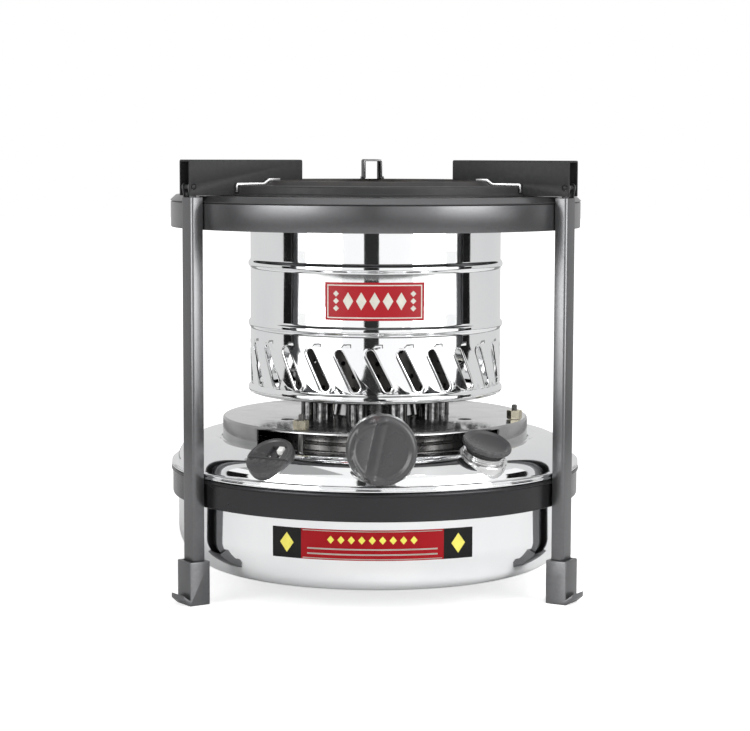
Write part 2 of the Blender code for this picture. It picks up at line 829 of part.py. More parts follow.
def make_tank():
    """The fuel tank: a deep pressed base and a top with a raised crest and a well for the burner."""
    lip = mid_band_radius - band_wall
    top_path = tank_top_path()
    top_profile = top_path + offset(top_path[2:], -tank_wall)[::-1] + [(lip, seam_bottom + tank_wall)]
    tank_top = add_part("tank_top", revolved(top_profile, ring_segments), chrome())
    corner_centre = (tank_radius - tank_corner_radius, tank_bottom_height + tank_corner_radius)
    flange_height = seam_top - tank_wall - clearance
    flange_foot = tank_radius + seam_bend
    base_path = [(tank_flange_radius - seam_bend, flange_height), (flange_foot, flange_height - seam_bend)]
    base_path += [(tank_radius, flange_height - 2.0 * seam_bend)]
    base_path += arc(corner_centre, tank_corner_radius, 0.0, -0.5 * pi, 3 * bend_steps - 1)
    foot_inner = corner_centre[0] - tank_foot_ring_width
    dish = tank_bottom_height + tank_dish_rise
    base_path += [(foot_inner, tank_bottom_height), (foot_inner - tank_dish_slope, dish), (0.0, dish)]
    inner = offset(base_path, tank_wall)
    inner[-1] = (0.0, dish + tank_wall)
    tank_base = add_part("tank_base", revolved(base_path + inner[::-1], ring_segments), chrome())
    bore = filler_neck_radius - filler_neck_wall
    stem_bore = gauge_stem_radius + 3.0 * clearance
    for name, frame, radius in (("filler_hole", filler_frame("filler_hole_frame"), bore),
                                ("gauge_hole", gauge_frame("gauge_hole_frame"), stem_bore)):
        hole = add_cutter(name, rod(radius, -filler_neck_drop, filler_neck_drop, 2 * pin_segments), frame)
        combine(tank_top, hole, "DIFFERENCE")
    return tank_base


def filler_frame(name):
    """The filler's frame on the tank's shoulder: Z along its tilted axis, X down the slope."""
    place = polar(filler_reach, filler_angle, filler_base_height)
    return pivot(name, place, (0.0, filler_tilt, filler_angle))


def gauge_frame(name):
    """The gauge's frame, with Z and X as the filler's."""
    return pivot(name, polar(gauge_reach, gauge_angle, gauge_base_height), (0.0, gauge_tilt, gauge_angle))


def tank_clearance_solid():
    """All that lies within a clearance of the tank top's outer face, to cut what sits on it."""
    above = offset(tank_top_path()[1:], clearance)
    floor = seam_bottom - filler_neck_drop
    below = [(0.0, above[-2][1]), (0.0, floor), (above[0][0], floor)]
    return revolved(above[:-1] + below, ring_segments)


def make_filler():
    """The threaded filler neck, its screw cap and the cap's seal."""
    frame = filler_frame("filler_axis")
    bore = filler_neck_radius - filler_neck_wall
    root = filler_neck_radius - filler_thread_depth
    path = [(bore, -filler_collar_drop), (filler_collar_radius, -filler_collar_drop),
            (filler_collar_radius, filler_collar_height), (root, filler_collar_height)]
    thread_foot = filler_neck_height - filler_threads * filler_thread_pitch
    for turn in range(filler_threads):
        start = thread_foot + turn * filler_thread_pitch
        crest = [(filler_neck_radius, start + share * filler_thread_pitch) for share in filler_thread_crest_shares]
        path += [(root, start)] + crest
    path += [(root, filler_neck_height), (bore, filler_neck_height)]
    neck = add_part("filler_neck", revolved(path, 2 * pipe_segments), satin_steel(), frame)
    combine(neck, add_cutter("neck_seat", tank_clearance_solid()), "DIFFERENCE")
    seal_bottom = filler_neck_height + clearance
    seal_top = seal_bottom + cap_seal_thickness
    plug_radius = bore - clearance
    seal = pipe(root, plug_radius + clearance, seal_bottom, seal_top, 2 * pipe_segments)
    add_part("cap_seal", seal, rubber(), frame)
    cap_bottom = seal_top + clearance
    cap_top = cap_bottom + cap_height
    rim = cap_radius - cap_dish
    cap = [(0.0, cap_bottom - cap_plug_depth), (plug_radius, cap_bottom - cap_plug_depth),
           (plug_radius, cap_bottom), (cap_radius - 0.5 * cap_dish, cap_bottom),
           (cap_radius, cap_bottom + cap_dish),
           (cap_radius, cap_top - cap_dish), (rim, cap_top), (rim - cap_dish, cap_top),
           (rim - 2.0 * cap_dish, cap_top - 0.5 * cap_dish), (0.0, cap_top - 0.5 * cap_dish)]
    add_part("filler_cap", revolved(cap, 2 * pipe_segments), dark_plastic(), frame)


def make_gauge():
    """The fuel gauge: a housing with a sloping window, and the float whose flag shows in it."""
    frame = gauge_frame("gauge_axis")
    rod_bore = gauge_rod_radius + clearance
    edge = gauge_step_depth
    housing = [(rod_bore, -gauge_stem_length), (gauge_stem_radius, -gauge_stem_length),
               (gauge_stem_radius, -gauge_drop), (gauge_radius, -gauge_drop),
               (gauge_radius, gauge_face_height - edge), (gauge_radius - 0.5 * edge, gauge_face_height),
               (rod_bore, gauge_face_height)]
    bezel = add_part("gauge_housing", revolved(housing, 2 * pipe_segments), dark_plastic(), frame)
    stem_keep = revolved([(gauge_stem_radius + clearance, -gauge_drop - cut_overrun),
                          (gauge_radius + cut_overrun, -gauge_drop - cut_overrun),
                          (gauge_radius + cut_overrun, gauge_face_height + cut_overrun),
                          (gauge_stem_radius + clearance, gauge_face_height + cut_overrun)], 2 * pipe_segments)
    seat = add_cutter("gauge_seat", stem_keep, frame)
    combine(seat, add_cutter("gauge_seat_surface", tank_clearance_solid()), "INTERSECT")
    combine(bezel, seat, "DIFFERENCE")
    step_low = (gauge_step_offset, -gauge_radius - cut_overrun, gauge_face_height - gauge_step_depth)
    step_high = (gauge_radius + cut_overrun, gauge_radius + cut_overrun, gauge_face_height + cut_overrun)
    combine(bezel, add_cutter("gauge_step", block(step_low, step_high), frame), "DIFFERENCE")
    half = 0.5 * gauge_window_width
    window_low = (-rod_bore, -half, gauge_face_height - gauge_window_offset)
    window_high = (gauge_window_length - rod_bore, half, gauge_face_height + cut_overrun)
    combine(bezel, add_cutter("gauge_window", block(window_low, window_high), frame), "DIFFERENCE")
    flag_half = 0.5 * gauge_flag_width
    flag_bottom = gauge_face_height - gauge_window_offset + clearance
    flag = block((-0.5 * gauge_rod_radius, -flag_half, flag_bottom),
                 (gauge_flag_length, flag_half, flag_bottom + gauge_flag_thickness))
    float_bottom = -float_depth - float_length
    float_path = [(0.0, float_bottom), (float_radius - edge, float_bottom), (float_radius, float_bottom + edge),
                  (float_radius, -float_depth - edge), (float_radius - edge, -float_depth), (0.0, -float_depth)]
    float_body = revolved(float_path, pipe_segments)
    stem = rod(gauge_rod_radius, -float_depth - edge, flag_bottom + 0.5 * gauge_flag_thickness)
    body = add_part("gauge_float", float_body, white_plastic(), frame)
    combine(body, add_cutter("float_stem", stem, frame), "UNION")
    combine(body, add_cutter("float_flag", flag, frame), "UNION")


def make_burner_base():
    """The gasket in the tank's well and the stepped base of the burner."""
    add_part("tank_gasket", pipe(gasket_outer_radius, gasket_inner_radius, gasket_bottom,
                                 gasket_bottom + gasket_thickness, plate_segments), rubber())
    rim_top = base_bottom + base_rim_height
    profile = [
        (base_floor_opening, base_bottom), (base_flange_radius, base_bottom), (base_flange_radius, rim_top),
        (base_flange_radius - base_wall, rim_top), (base_flange_radius - base_wall, base_floor_top),
        (base_neck_radius, base_floor_top), (base_neck_radius, base_top),
        (base_neck_radius - base_wall, base_top),
        (base_neck_radius - base_wall, base_floor_top), (base_floor_opening, base_floor_top),
    ]
    base = add_part("burner_base", revolved(profile, plate_segments), dark_steel())
    rods = [moved(rod(guide_rod_radius + clearance, base_bottom - cut_overrun, base_floor_top + cut_overrun),
                  Matrix.Translation(polar(rod_circle_radius, angle))) for angle in rod_angles]
    studs = [moved(rod(stud_radius + clearance, base_bottom - cut_overrun, base_top + cut_overrun),
                   Matrix.Translation(polar(stud_circle_radius, angle))) for angle in stud_angles]
    combine(base, add_cutter("base_holes", joined(rods + studs)), "DIFFERENCE")
    notch = moved(rod(bush_radius + clearance, 0.0, 3.0 * cut_overrun, 2 * pipe_segments),
                  Matrix.Translation((0.0, -base_neck_radius + 2.0 * cut_overrun, shaft_height))
                  @ Matrix.Rotation(0.5 * pi, 4, "X"))
    combine(base, add_cutter("bush_notch", notch), "DIFFERENCE")


def make_burner_plate():
    """The round plate over the burner, with its skirt, hub, tube holes and front window."""
    path = rounded([
        (burner_plate_radius, burner_skirt_bottom),
        (burner_plate_radius, burner_plate_height),
        (hub_radius, burner_plate_height),
        (hub_radius - hub_draft, hub_height),
        (0.0, hub_height),
    ], burner_plate_bend, 1)
    inner = offset(path, -burner_plate_wall)
    inner[-1] = (0.0, hub_height - burner_plate_wall)
    plate = add_part("burner_plate", revolved(path + inner[::-1], plate_segments), satin_steel(),
                     turn=pi / plate_segments)
    low = burner_plate_underside - cut_overrun
    high = burner_plate_height + cut_overrun
    tubes = [moved(rod(tube_radius + clearance, low, high), Matrix.Translation(place))
             for place in wick_places()]
    vents = [moved(rod(vent_radius, low, high), Matrix.Translation(polar(rod_circle_radius, angle)))
             for angle in rod_angles]
    studs = [moved(rod(stud_radius + clearance, low, high),
                   Matrix.Translation(polar(stud_circle_radius, angle))) for angle in stud_angles]
    combine(plate, add_cutter("plate_holes", joined(tubes + vents + studs)), "DIFFERENCE")
    reach = burner_plate_radius + cut_overrun
    inner_reach = burner_plate_radius - burner_plate_bend - burner_plate_wall
    start = FRONT - 0.5 * burner_window_angle
    end = FRONT + 0.5 * burner_window_angle
    sector = arc((0.0, 0.0), reach, start, end, 4 * bend_steps)
    sector += arc((0.0, 0.0), inner_reach, end, start, 4 * bend_steps)
    window_top = burner_plate_height - burner_window_share * burner_plate_bend
    window = extruded(sector, burner_skirt_bottom - cut_overrun, window_top)
    combine(plate, add_cutter("plate_window", window), "DIFFERENCE")


def wick_places():
    """The centres of the wicks, with a gap between two of them at the front for the shaft."""
    step = TURN / wick_count
    return [polar(wick_circle_radius, FRONT + step * (index + 0.5)) for index in range(wick_count)]


def make_wick_tubes():
    """Ten tubes brazed into one plate, which rests on the burner's base."""
    plate = pipe(tube_plate_outer_radius, tube_plate_inner_radius, tube_bottom, tube_plate_top, sleeve_segments)
    tubes = add_part("wick_tubes", plate, dark_steel(), turn=pi / sleeve_segments)
    outsides = [moved(rod(tube_radius, tube_bottom, tube_top), Matrix.Translation(place))
                for place in wick_places()]
    combine(tubes, add_cutter("tube_outsides", joined(outsides)), "UNION")
    bores = [moved(rod(tube_radius - tube_wall, tube_bottom - cut_overrun, tube_top + cut_overrun),
                   Matrix.Translation(place)) for place in wick_places()]
    combine(tubes, add_cutter("tube_bores", joined(bores)), "DIFFERENCE")


def make_flame_ring():
    """The ring on the tubes' upper ends, with two rims that the sleeves sit between."""
    outer = outer_sleeve_radius + clearance + flame_ring_wall
    inner = inner_sleeve_radius - sleeve_wall - clearance - flame_ring_wall
    low = flame_ring_height
    floor = low + flame_ring_wall
    rim = low + flame_ring_rim + flame_ring_wall
    profile = [(inner, low), (outer, low), (outer, rim), (outer - flame_ring_wall, rim),
               (outer - flame_ring_wall, floor), (inner + flame_ring_wall, floor),
               (inner + flame_ring_wall, rim), (inner, rim)]
    ring = add_part("flame_ring", revolved(profile, sleeve_segments), dark_steel(), turn=pi / sleeve_segments)
    holes = [moved(rod(tube_radius + clearance, low - cut_overrun, floor + cut_overrun),
                   Matrix.Translation(place)) for place in wick_places()]
    combine(ring, add_cutter("flame_ring_holes", joined(holes)), "DIFFERENCE")


def make_wicks():
    lift = pivot("wick_lift_axis")
    names = ["wick_" + str(index + 1) for index in range(wick_count)]
    places = [Matrix.Translation(place) for place in wick_places()]
    add_copies(names, rod(wick_radius, wick_bottom, wick_top), cotton(), places, lift)
    return lift


def make_wick_carrier(lift):
    """The ring that grips the wicks, with ears on the guide rods and a tab under the rack."""
    low = carrier_height
    high = carrier_height + carrier_wall
    half = 0.5 * carrier_ring_width
    ring = pipe(wick_circle_radius + half, wick_circle_radius - half, low, high, sleeve_segments)
    carrier = add_part("wick_carrier", ring, dark_steel(), lift, pi / sleeve_segments)
    for name, angle in zip(("left", "right"), rod_angles):
        tip = arc((rod_circle_radius, 0.0), carrier_ear_radius, -0.5 * pi, 0.5 * pi, 2 * bend_steps)
        ear = extruded(tip + [(wick_circle_radius + 0.5 * half, carrier_ear_radius),
                              (wick_circle_radius + 0.5 * half, -carrier_ear_radius)], low, high)
        combine(carrier, add_cutter("carrier_ear_" + name, ear, lift, angle), "UNION")
    tab_low = (-rack_tab_margin, -wick_circle_radius + 0.5 * half, low)
    tab_high = (rack_face() + rack_back_thickness + rack_tab_margin,
                rack_front + rack_width + rack_tab_margin, high)
    combine(carrier, add_cutter("carrier_tab", block(tab_low, tab_high), lift), "UNION")
    holes = [moved(rod(wick_radius + clearance, low - cut_overrun, high + cut_overrun),
                   Matrix.Translation(place)) for place in wick_places()]
    holes += [moved(rod(guide_rod_radius + clearance, low - cut_overrun, high + cut_overrun),
                    Matrix.Translation(polar(rod_circle_radius, angle))) for angle in rod_angles]
    combine(carrier, add_cutter("carrier_holes", joined(holes), lift), "DIFFERENCE")


def rack_face():
    """The place along X of the rack's root line."""
    return pinion_radius + tooth_root_share * rack_module


def rack_teeth_outline():
    """The rack's side in X and height: straight-flanked teeth on a back, with a space at the shaft's height."""
    tip = pinion_radius - rack_module
    root = rack_face()
    half_pitch = 0.5 * tooth_pitch - tooth_thinning
    tip_half = 0.5 * half_pitch - rack_module * tan(tooth_flank_angle)
    root_half = 0.5 * half_pitch + tooth_root_share * rack_module * tan(tooth_flank_angle)
    top = shaft_height + rack_top_margin
    bottom = carrier_height + carrier_wall + clearance
    first = int((wick_travel + rack_end_margin) / tooth_pitch) + 1
    outline = [(root + rack_back_thickness, bottom), (root, bottom)]
    for index in range(-first, 1):
        middle = shaft_height + (index + 0.5) * tooth_pitch
        if middle - root_half > bottom and middle + root_half < top:
            outline += [(root, middle - root_half), (tip, middle - tip_half),
                        (tip, middle + tip_half), (root, middle + root_half)]
    return outline + [(root, top), (root + rack_back_thickness, top)]


def make_rack(lift):
    solid = moved(extruded(rack_teeth_outline(), 0.0, rack_width), side_plane(rack_front + rack_width))
    add_part("wick_rack", solid, satin_steel(), lift)


def pinion_outline():
    """Straight-flanked teeth round the pinion, with one tooth towards the rack."""
    tip_radius = pinion_radius + rack_module
    root_radius = pinion_radius - tooth_root_share * rack_module
    half_pitch = 0.5 * tooth_pitch - tooth_thinning
    tip_half = (0.5 * half_pitch - rack_module * tan(tooth_flank_angle)) / tip_radius
    root_half = (0.5 * half_pitch + tooth_root_share * rack_module * tan(tooth_flank_angle)) / root_radius
    outline = []
    for tooth in range(pinion_teeth):
        middle = TURN * tooth / pinion_teeth
        for radius, half in ((root_radius, -root_half), (tip_radius, -tip_half),
                             (tip_radius, tip_half), (root_radius, root_half)):
            outline.append((radius * cos(middle + half), radius * sin(middle + half)))
    return outline


def make_control():
    """The knob, its shaft, the pinion on the shaft's inner end, and the two bearings."""
    axis = pivot("control_axis", (0.0, 0.0, shaft_height), (0.5 * pi, 0.0, 0.0))
    pinion_start = -(rack_front + rack_width)
    pinion_end = -rack_front
    journal_start = pinion_start - clearance - 0.5 * journal_length
    shaft_end = -knob_front - knob_face_depth - knob_wall - clearance
    shaft = revolved([
        (0.0, journal_start), (journal_radius, journal_start), (journal_radius, pinion_end + clearance),
        (shaft_radius, pinion_end + clearance), (shaft_radius, shaft_end), (0.0, shaft_end),
    ], pipe_segments)
    add_part("control_shaft", shaft, satin_steel(), axis)
    pinion = add_part("pinion", extruded(pinion_outline(), pinion_start, pinion_end), satin_steel(), axis)
    bore = rod(journal_radius + clearance, pinion_start - cut_overrun, pinion_end + cut_overrun, pipe_segments)
    combine(pinion, add_cutter("pinion_bore", bore, axis), "DIFFERENCE")
    make_knob(axis)
    bush_start = base_neck_radius - base_wall - clearance - bush_inner_share * bush_length
    bush = pipe(bush_radius, shaft_radius + clearance, bush_start, bush_start + bush_length, 2 * pipe_segments)
    add_part("shaft_bush", bush, brass(), axis)
    half = 0.5 * bracket_width
    top = burner_plate_underside - clearance - shaft_height
    bottom = tube_plate_top + clearance - shaft_height
    bracket = block((-half, bottom, -bracket_position - bracket_wall), (half, top, -bracket_position))
    bracket = add_part("shaft_bracket", bracket, dark_steel(), axis)
    hole = rod(shaft_radius + clearance, -bracket_position - bracket_wall - cut_overrun,
               -bracket_position + cut_overrun, pipe_segments)
    combine(bracket, add_cutter("bracket_bore", hole, axis), "DIFFERENCE")


def make_knob(axis):
    """A hollow moulded knob with a raised rim and a wedge grip across its face."""
    back = -knob_back
    front = -knob_front
    face = front - knob_face_depth
    body_path = [(0.0, back + knob_hollow_depth), (knob_radius - knob_wall, back + knob_hollow_depth),
                 (knob_radius - knob_wall, back), (knob_radius, back)]
    body_path += [(knob_radius, face - knob_rim_radius)]
    rim_centre = (knob_radius - knob_rim_radius, face - knob_rim_radius)
    body_path += arc(rim_centre, knob_rim_radius, 0.0, 0.5 * pi, bend_steps)[1:]
    inner_rim = knob_radius - knob_rim_radius - knob_face_rim
    dish = face - knob_dish_share * knob_face_rim
    body_path += [(inner_rim, face), (inner_rim - knob_face_rim, dish), (0.0, dish)]
    knob = add_part("knob", revolved(body_path, 3 * pipe_segments), dark_plastic(), axis)
    hub = rod(knob_hub_radius, back, back + knob_hollow_depth + 0.5 * knob_wall, 2 * pin_segments)
    combine(knob, add_cutter("knob_hub", hub, axis), "UNION")
    grip = add_cutter("knob_grip", grip_wedge(face, front), axis, -knob_grip_angle)
    combine(knob, grip, "UNION")
    socket = rod(shaft_radius + clearance, back - cut_overrun, face - knob_wall, pipe_segments)
    combine(knob, add_cutter("knob_socket", socket, axis), "DIFFERENCE")


def grip_wedge(face, front):
    """A tapered bar across the knob's face whose ends follow the rim."""
    wedge = bmesh.new()
    reach_low = knob_radius - knob_grip_low_reach_share * knob_rim_radius
    reach_high = knob_radius - knob_grip_high_reach_share * knob_rim_radius
    middle_width = 0.5 * (knob_grip_width + knob_grip_top_width)
    reach_middle = 0.5 * (reach_low + reach_high)
    levels = ((face - knob_rim_radius, knob_grip_width, reach_low),
              (face + knob_grip_shoulder_share * knob_face_depth, middle_width, reach_low),
              (front - knob_grip_top_share * knob_face_depth, knob_grip_top_width, reach_middle),
              (front, knob_grip_tip_share * knob_grip_top_width, reach_high))
    rings = []
    for height, width, reach in levels:
        half = 0.5 * width
        end = sqrt(reach ** 2 - half ** 2)
        rings.append([wedge.verts.new((x, y, height))
                      for x, y in ((-half, -end), (half, -end), (half, end), (-half, end))])
    for low, high in zip(rings, rings[1:]):
        for index in range(4):
            wedge.faces.new((low[index - 1], low[index], high[index], high[index - 1]))
    wedge.faces.new(rings[0][::-1])
    wedge.faces.new(rings[-1])
    bmesh.ops.recalc_face_normals(wedge, faces=wedge.faces)
    return wedge


def make_fixings():
    """Guide rods, clamp studs and clamp nuts."""
    head = base_floor_top + clearance
    profile = [(0.0, guide_rod_bottom), (guide_rod_radius, guide_rod_bottom), (guide_rod_radius, head),
               (rod_head_radius, head), (rod_head_radius, head + rod_head_height),
               (0.0, head + rod_head_height)]
    places = [Matrix.Translation(polar(rod_circle_radius, angle)) for angle in rod_angles]
    add_copies(["guide_rod_left", "guide_rod_right"], revolved(profile, pin_segments), dark_steel(), places)
    places = [Matrix.Translation(polar(stud_circle_radius, angle)) for angle in stud_angles]
    stud_foot = well_height + clearance
    names = ["clamp_stud_" + side for side in stud_sides]
    add_copies(names, rod(stud_radius, stud_foot, stud_height), brass(), places)
    bottom = burner_plate_height + clearance
    hole = arc((0.0, 0.0), stud_radius + clearance, 0.0, TURN, pin_segments)[:-1]
    nut = plate_with_hole(regular(6, nut_radius), hole, nut_height)
    nut = moved(nut, Matrix.Translation((0.0, 0.0, bottom)))
    add_copies(["clamp_nut_" + side for side in stud_sides], nut, brass(), places)


def drum_path():
    """The drum's outer face, from the hem at its foot over the beads to the inward flange at its top."""
    hem_bend = (drum_radius - drum_hem_bend_shares[0] * drum_hem_width,
                drum_bottom + drum_hem_bend_shares[1] * drum_bead_height)
    path = [(drum_radius - drum_hem_width, drum_bottom), hem_bend]
    half = 0.5 * drum_bead_height
    for middle in drum_bead_heights:
        flat = drum_bead_flat_share * half
        for rise, proud in ((-half, 0.0), (-flat, drum_bead_proud), (flat, drum_bead_proud), (half, 0.0)):
            if middle + rise > path[-1][1]:
                path.append((drum_radius + proud, middle + rise))
    centre = (drum_radius - drum_flange_bend, drum_top - drum_flange_bend)
    path += arc(centre, drum_flange_bend, 0.0, 0.5 * pi, bend_steps)
    return path + [(outer_sleeve_radius + 2.0 * clearance, drum_top)]


def slot_cutters():
    """Slanted slots with round ends, cut straight in towards the axis."""
    length = (slot_top - slot_bottom - slot_width) / cos(slot_lean)
    half = 0.5 * slot_width
    outline = arc((0.0, 0.5 * length), half, 0.0, pi, bend_steps)
    outline += arc((0.0, -0.5 * length), half, pi, TURN, bend_steps)
    middle = 0.5 * (slot_bottom + slot_top)
    slots = []
    for index in range(slot_count):
        slot = extruded(outline, drum_radius - 3.0 * cut_overrun, drum_radius + 2.0 * cut_overrun)
        turn = FRONT + TURN * (index + 0.5) / slot_count
        place = (Matrix.Translation((0.0, 0.0, middle)) @ Matrix.Rotation(turn, 4, "Z")
                 @ Matrix.Rotation(0.5 * pi, 4, "Y") @ Matrix.Rotation(0.5 * pi + slot_lean, 4, "Z"))
        slots.append(moved(slot, place))
    return joined(slots)


def make_drum(lift):
    """The beaded chrome casing with its ring of slanted slots."""
    inside = drum_radius - drum_wall
    underside = drum_top - drum_wall
    inner = [(drum_path()[-1][0], underside), (inside - drum_flange_bend, underside),
             (inside, underside - drum_flange_bend), (inside, drum_bottom + drum_wall),
             (drum_path()[0][0], drum_bottom + drum_wall)]
    drum = add_part("drum", revolved(drum_path() + inner, drum_segments), chrome(), lift)
    combine(drum, add_cutter("drum_slots", slot_cutters(), lift), "DIFFERENCE")


def perforations(radius, count):
    """Rows of small holes through a sleeve, each row turned half a pitch from the last."""
    holes = []
    for row in range(perforation_rows):
        height = perforation_start + row * perforation_pitch
        for index in range(count):
            turn = TURN * (index + 0.5 * (row % 2)) / count
            hole = extruded(regular(6, perforation_radius), radius - cut_overrun, radius + cut_overrun)
            place = Matrix.Translation((0.0, 0.0, height)) @ Matrix.Rotation(turn, 4, "Z") @ along_x()
            holes.append(moved(hole, place))
    return holes


def cross_pin_bores():
    reach = outer_sleeve_radius + cross_pin_end + cut_overrun
    start = cross_pin_bore_start_share * inner_sleeve_radius
    return [moved(rod(cross_pin_radius + clearance, start, reach), pin_place(index))
            for index in range(cross_pin_count)]


def pin_place(index):
    turn = FRONT + TURN * index / cross_pin_count
    return Matrix.Translation((0.0, 0.0, cross_pin_height)) @ Matrix.Rotation(turn, 4, "Z") @ along_x()


def make_sleeves(lift):
    """The two perforated sleeves, the spreader that closes the inner one, and the pins through both."""
    inside = outer_sleeve_radius - sleeve_wall
    flange = outer_sleeve_radius + sleeve_flange_width
    half_step = pi / sleeve_segments
    outer_profile = [(inside, sleeve_bottom), (outer_sleeve_radius, sleeve_bottom),
                     (outer_sleeve_radius, outer_sleeve_top - sleeve_wall),
                     (flange, outer_sleeve_top - sleeve_wall), (flange, outer_sleeve_top),
                     (inside, outer_sleeve_top)]
    outer = add_part("outer_sleeve", revolved(outer_profile, sleeve_segments), dark_steel(), lift, half_step)
    outer_cuts = joined(perforations(outer_sleeve_radius, outer_perforations) + cross_pin_bores())
    combine(outer, add_cutter("outer_sleeve_holes", outer_cuts, lift), "DIFFERENCE")
    inner_solid = pipe(inner_sleeve_radius, inner_sleeve_radius - sleeve_wall, sleeve_bottom, inner_sleeve_top,
                       sleeve_segments)
    inner = add_part("inner_sleeve", inner_solid, dark_steel(), lift, half_step)
    inner_cuts = joined(perforations(inner_sleeve_radius, inner_perforations) + cross_pin_bores())
    combine(inner, add_cutter("inner_sleeve_holes", inner_cuts, lift), "DIFFERENCE")
    rim = inner_sleeve_radius + spreader_overhang
    low = inner_sleeve_top + clearance
    bend = spreader_bend_reach_share * rim
    bend_height = low + spreader_bend_rise_share * spreader_rise
    path = [(rim, low - spreader_overhang), (rim, low + spreader_wall), (bend, bend_height),
            (0.0, low + spreader_rise)]
    under = [(rim - spreader_wall, low - spreader_overhang), (rim - spreader_wall, low),
             (bend, bend_height - spreader_wall), (0.0, low + spreader_rise - spreader_wall)]
    add_part("flame_spreader", revolved(path + under[::-1], sleeve_segments), dark_steel(), lift)
    start = inner_sleeve_radius - sleeve_wall - cross_pin_end
    end = outer_sleeve_radius + cross_pin_end
    places = [pin_place(index) for index in range(cross_pin_count)]
    names = ["cross_pin_" + str(index + 1) for index in range(cross_pin_count)]
    add_copies(names, rod(cross_pin_radius, start, end), satin_steel(), places, lift)


def clear_scene():
    for item in list(bpy.data.objects):
        bpy.data.objects.remove(item, do_unlink=True)


def build_stove():
    clear_scene()
    make_legs()
    make_feet()
    make_bands()
    make_top_plate()
    make_pan_supports()
    make_hinge_pins()
    make_tank()
    make_filler()
    make_gauge()
    make_burner_base()
    make_burner_plate()
    make_wick_tubes()
    make_flame_ring()
    wick_lift = make_wicks()
    make_wick_carrier(wick_lift)
    make_rack(wick_lift)
    make_control()
    make_fixings()
    burner_lift = pivot("burner_lift_axis")
    make_drum(burner_lift)
    make_sleeves(burner_lift)


build_stove()
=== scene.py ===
"""Looks of the ten-wick kerosene stove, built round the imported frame.

Metres, +Z up, the knob towards -Y. Every piece sits where its CAD node sits. Outlines, blocks and
rods are drawn in millimetres, and a profile's points are its radius and its height.
"""
from math import atan2, cos, hypot, pi, radians, sin, sqrt, tan

import bmesh
import bpy
from mathutils import Matrix, Vector, noise


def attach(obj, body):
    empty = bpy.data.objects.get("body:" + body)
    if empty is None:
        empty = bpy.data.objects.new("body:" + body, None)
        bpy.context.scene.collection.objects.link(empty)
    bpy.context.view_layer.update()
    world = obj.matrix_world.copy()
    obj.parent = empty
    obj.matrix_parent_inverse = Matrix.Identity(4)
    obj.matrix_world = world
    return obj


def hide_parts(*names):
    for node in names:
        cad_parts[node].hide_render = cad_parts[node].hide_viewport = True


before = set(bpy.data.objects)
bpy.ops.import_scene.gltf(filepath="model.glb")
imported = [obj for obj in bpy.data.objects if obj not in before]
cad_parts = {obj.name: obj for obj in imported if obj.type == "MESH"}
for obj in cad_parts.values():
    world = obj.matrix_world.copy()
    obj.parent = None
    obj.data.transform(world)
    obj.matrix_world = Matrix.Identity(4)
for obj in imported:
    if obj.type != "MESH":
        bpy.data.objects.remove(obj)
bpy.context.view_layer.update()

MM = 0.001
TURN = 2.0 * pi
FRONT = -0.5 * pi

# Resolution and softness of the meshes
fine_ring = 176
sleeve_ring = 96
small_ring = 64
bush_ring = 48
hole_ring = 32
pin_ring = 24
bend_steps = 6
crease_angle = radians(34.0)
soft_angle = radians(40.0)
edge_softness = 0.25 * MM
merge_distance = 0.003 * MM
flat_length = 2.0 * MM
corner_share = 0.45
mitre_limit = 0.3
facing = 0.9

# Camera of the photograph
photo_focal = 2120.17
photo_width = 750.0
sensor_width = 36.0
camera_elevation = radians(5.713)
camera_azimuth = radians(-1.673)
camera_roll = radians(0.174)
camera_distance = 1.41195
camera_target_height = 144.3 * MM
camera_target_shift = -0.14 * MM

# Sizes that several pieces share, as in the CAD
clearance = 0.3 * MM
leg_angles = (FRONT - radians(57.0), FRONT + radians(57.0), FRONT + pi)
legs = tuple(zip(("left", "right", "rear"), leg_angles))
leg_inner = 135.3 * MM
leg_outer = 143.5 * MM
leg_width = 13.0 * MM
leg_wall = 1.2 * MM
leg_bend = 2.0 * MM
leg_foot = 3.7 * MM
leg_top = 257.3 * MM
hinge_reach = 141.6 * MM
hinge_height = 263.8 * MM
slot_half_width = 6.6 * MM
support_inner = 61.5 * MM
support_outer = 144.6 * MM
support_top = 280.7 * MM
tank_radius = 130.7 * MM
tank_corner = Vector((104.7 * MM, 40.6 * MM))
tank_corner_radius = 26.0 * MM
wick_count = 10
wick_circle = 42.8 * MM
stud_circle = 95.0 * MM
rod_circle = 65.0 * MM
wick_hole = 6.8
stud_hole = 2.2
drum_radius = 82.8 * MM
drum_wall = 0.9 * MM
shaft_height = 106.8 * MM


# Outlines and solids

at = Matrix.Translation
laid = Matrix.Rotation(0.5 * pi, 4, "X")


def rounded(points, radius, steps=bend_steps, closed=False):
    """Round the inner corners of a path, or every corner of a closed outline, with arcs."""
    path = []
    count = len(points)
    for index, corner in enumerate(points):
        if not closed and index in (0, count - 1):
            path.append(corner)
            continue
        here = Vector(corner)
        before = Vector(points[index - 1]) - here
        after = Vector(points[(index + 1) % count]) - here
        half_angle = 0.5 * before.angle(after)
        size = min(radius, corner_share * min(before.length, after.length) * tan(half_angle))
        reach = size / tan(half_angle)
        inward = (before.normalized() + after.normalized()).normalized()
        centre = here + inward * (size / sin(half_angle))
        first = here + before.normalized() * reach - centre
        last = here + after.normalized() * reach - centre
        sweep = first.angle_signed(last)
        for step in range(steps + 1):
            spoke = first.copy()
            spoke.rotate(Matrix.Rotation(-sweep * step / steps, 2))
            path.append(tuple(centre + spoke))
    return path


